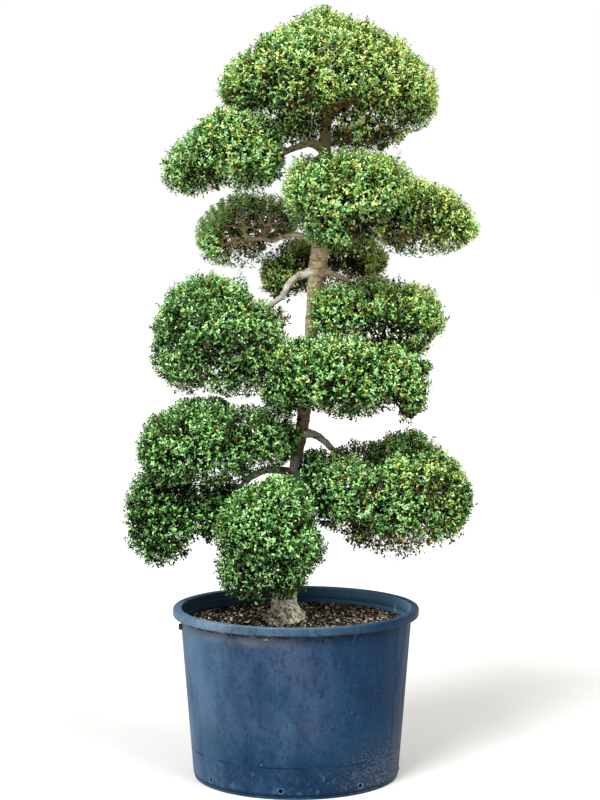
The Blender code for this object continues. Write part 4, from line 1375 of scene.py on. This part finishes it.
def makeChips(bed):
    # bits of bark mulch: flattened six-sided lumps, turned every way
    rng = np.random.default_rng(chips["seed"])
    count = chips["count"]
    reach = (wallRadius(soil["edge"]) - chips["wallGap"]) * np.sqrt(rng.random(count))
    turn = rng.uniform(0, 2 * math.pi, count)
    places = np.stack([reach * np.cos(turn), reach * np.sin(turn)], 1)
    trunkFoot = np.array(limbRoutes["trunk"][0][:2])
    places = places[np.linalg.norm(places - trunkFoot, axis=1) > chips["trunkGap"]]
    count = len(places)
    least, most = chips["size"]
    size = least + (most - least) * rng.random(count) ** 2.2
    along = unit(rng.normal(size=(count, 3)) * (1, 1, 0.45))
    side, top = crossFrames(along)
    ring = np.array(chips["ring"])[None] * rng.uniform(0.7, 1.3, (count, 6, 1))
    width = rng.uniform(0.4, 0.8, (count, 1, 1))
    flat = ring[..., :1] * along[:, None] + ring[..., 1:] * side[:, None] * width
    centre = np.concatenate([places, soilHeights(bed, places)[:, None] + size[:, None] * 0.22], 1)
    reachUp = top[:, None] * rng.uniform(0.18, 0.34, (count, 1, 1))
    lump = np.concatenate([flat * 0.75 + reachUp, flat - reachUp], 1)
    points = centre[:, None] + size[:, None, None] * lump
    faces = [(0, i, i + 1) for i in range(1, 5)]
    for i in range(6):
        j = (i + 1) % 6
        faces += [(i, i + 6, j + 6), (i, j + 6, j)]
    kinds = rng.choice(4, count, p=[share for _, share in chips["colours"].values()])
    # painted shade: more of the chips left of here are dark
    leftOf, share = chips["shadeOnLeft"]
    kinds[(places[:, 0] < leftOf) & (rng.random(count) < share)] = 0
    mulch = arrayPiece(*repeatFaces(points, faces), np.repeat(kinds, len(faces)))
    mulch.data.shade_flat()
    for name, (colour, _) in chips["colours"].items():
        mulch.data.materials.append(startMaterial(name, colour, 0.9, 0.2))
    return mulch


soilBed = makeSoil()
soilChips = makeChips(soilBed)
handOver(soilBed, "soilBed", "soil", "soil")
handOver(soilChips, "soilChips", "soil")
print("soil made:", len(soilBed.data.polygons), "chip faces", len(soilChips.data.polygons))


# Floor, light and camera

studio = {
    "floor": 0.74,
    "sky": 0.56,  # as light; to the camera it is plain white
    # place, strength, spread in degrees and colour
    "suns": {
        "key": ((-0.5, -0.85, 1), 3.6, 26, (1, 0.99, 0.96)),
        "fill": ((0.62, -0.62, 0.95), 1.9, 34, (1, 0.97, 0.9)),
    },
}


def makeStage():
    floor = addShape(bpy.ops.mesh.primitive_plane_add, size=120, location=(0, 30, 0))
    floor.name = "floor"
    floor.data.materials.append(startMaterial("floorPale", (studio["floor"],) * 3, 0.9, 0.1))
    world = bpy.data.worlds.new("studio")
    bpy.context.scene.world = world
    world.use_nodes = True
    paintBox["tree"] = world.node_tree
    lightSky = world.node_tree.nodes["Background"]
    lightSky.inputs["Strength"].default_value = studio["sky"]
    plainSky = addNode("ShaderNodeBackground")
    for sky in (lightSky, plainSky):
        sky.inputs["Color"].default_value = (1, 1, 1, 1)
    either = addNode("ShaderNodeMixShader")
    wire(addNode("ShaderNodeLightPath").outputs["Is Camera Ray"], either.inputs["Fac"])
    wire(lightSky.outputs[0], either.inputs[1])
    wire(plainSky.outputs[0], either.inputs[2])
    wire(either.outputs[0], world.node_tree.nodes["World Output"].inputs["Surface"])
    for name, (place, strength, spread, colour) in studio["suns"].items():
        bpy.ops.object.light_add(type="SUN", location=Vector(place) * 6)
        light = bpy.context.object
        light.name = name
        light.data.energy = strength
        light.data.angle = math.radians(spread)
        light.data.color = colour
        light.rotation_euler = (-Vector(place)).to_track_quat("-Z", "Y").to_euler()


camera = {"place": (0.0148, -7.114, 1.891), "tilt": 0.0722, "focalPixels": 1961, "frameHeight": 800}


def makeCamera():
    data = bpy.data.cameras.new("camera")
    data.sensor_width = 36
    data.lens = camera["focalPixels"] / camera["frameHeight"] * data.sensor_width
    eye = bpy.data.objects.new("camera", data)
    eye.location = camera["place"]
    eye.rotation_euler = (math.pi / 2 - camera["tilt"], 0, 0)
    bpy.context.scene.collection.objects.link(eye)
    bpy.context.scene.camera = eye


makeStage()
makeCamera()
bpy.context.scene.view_settings.view_transform = "Standard"
print("floor, light and camera set")
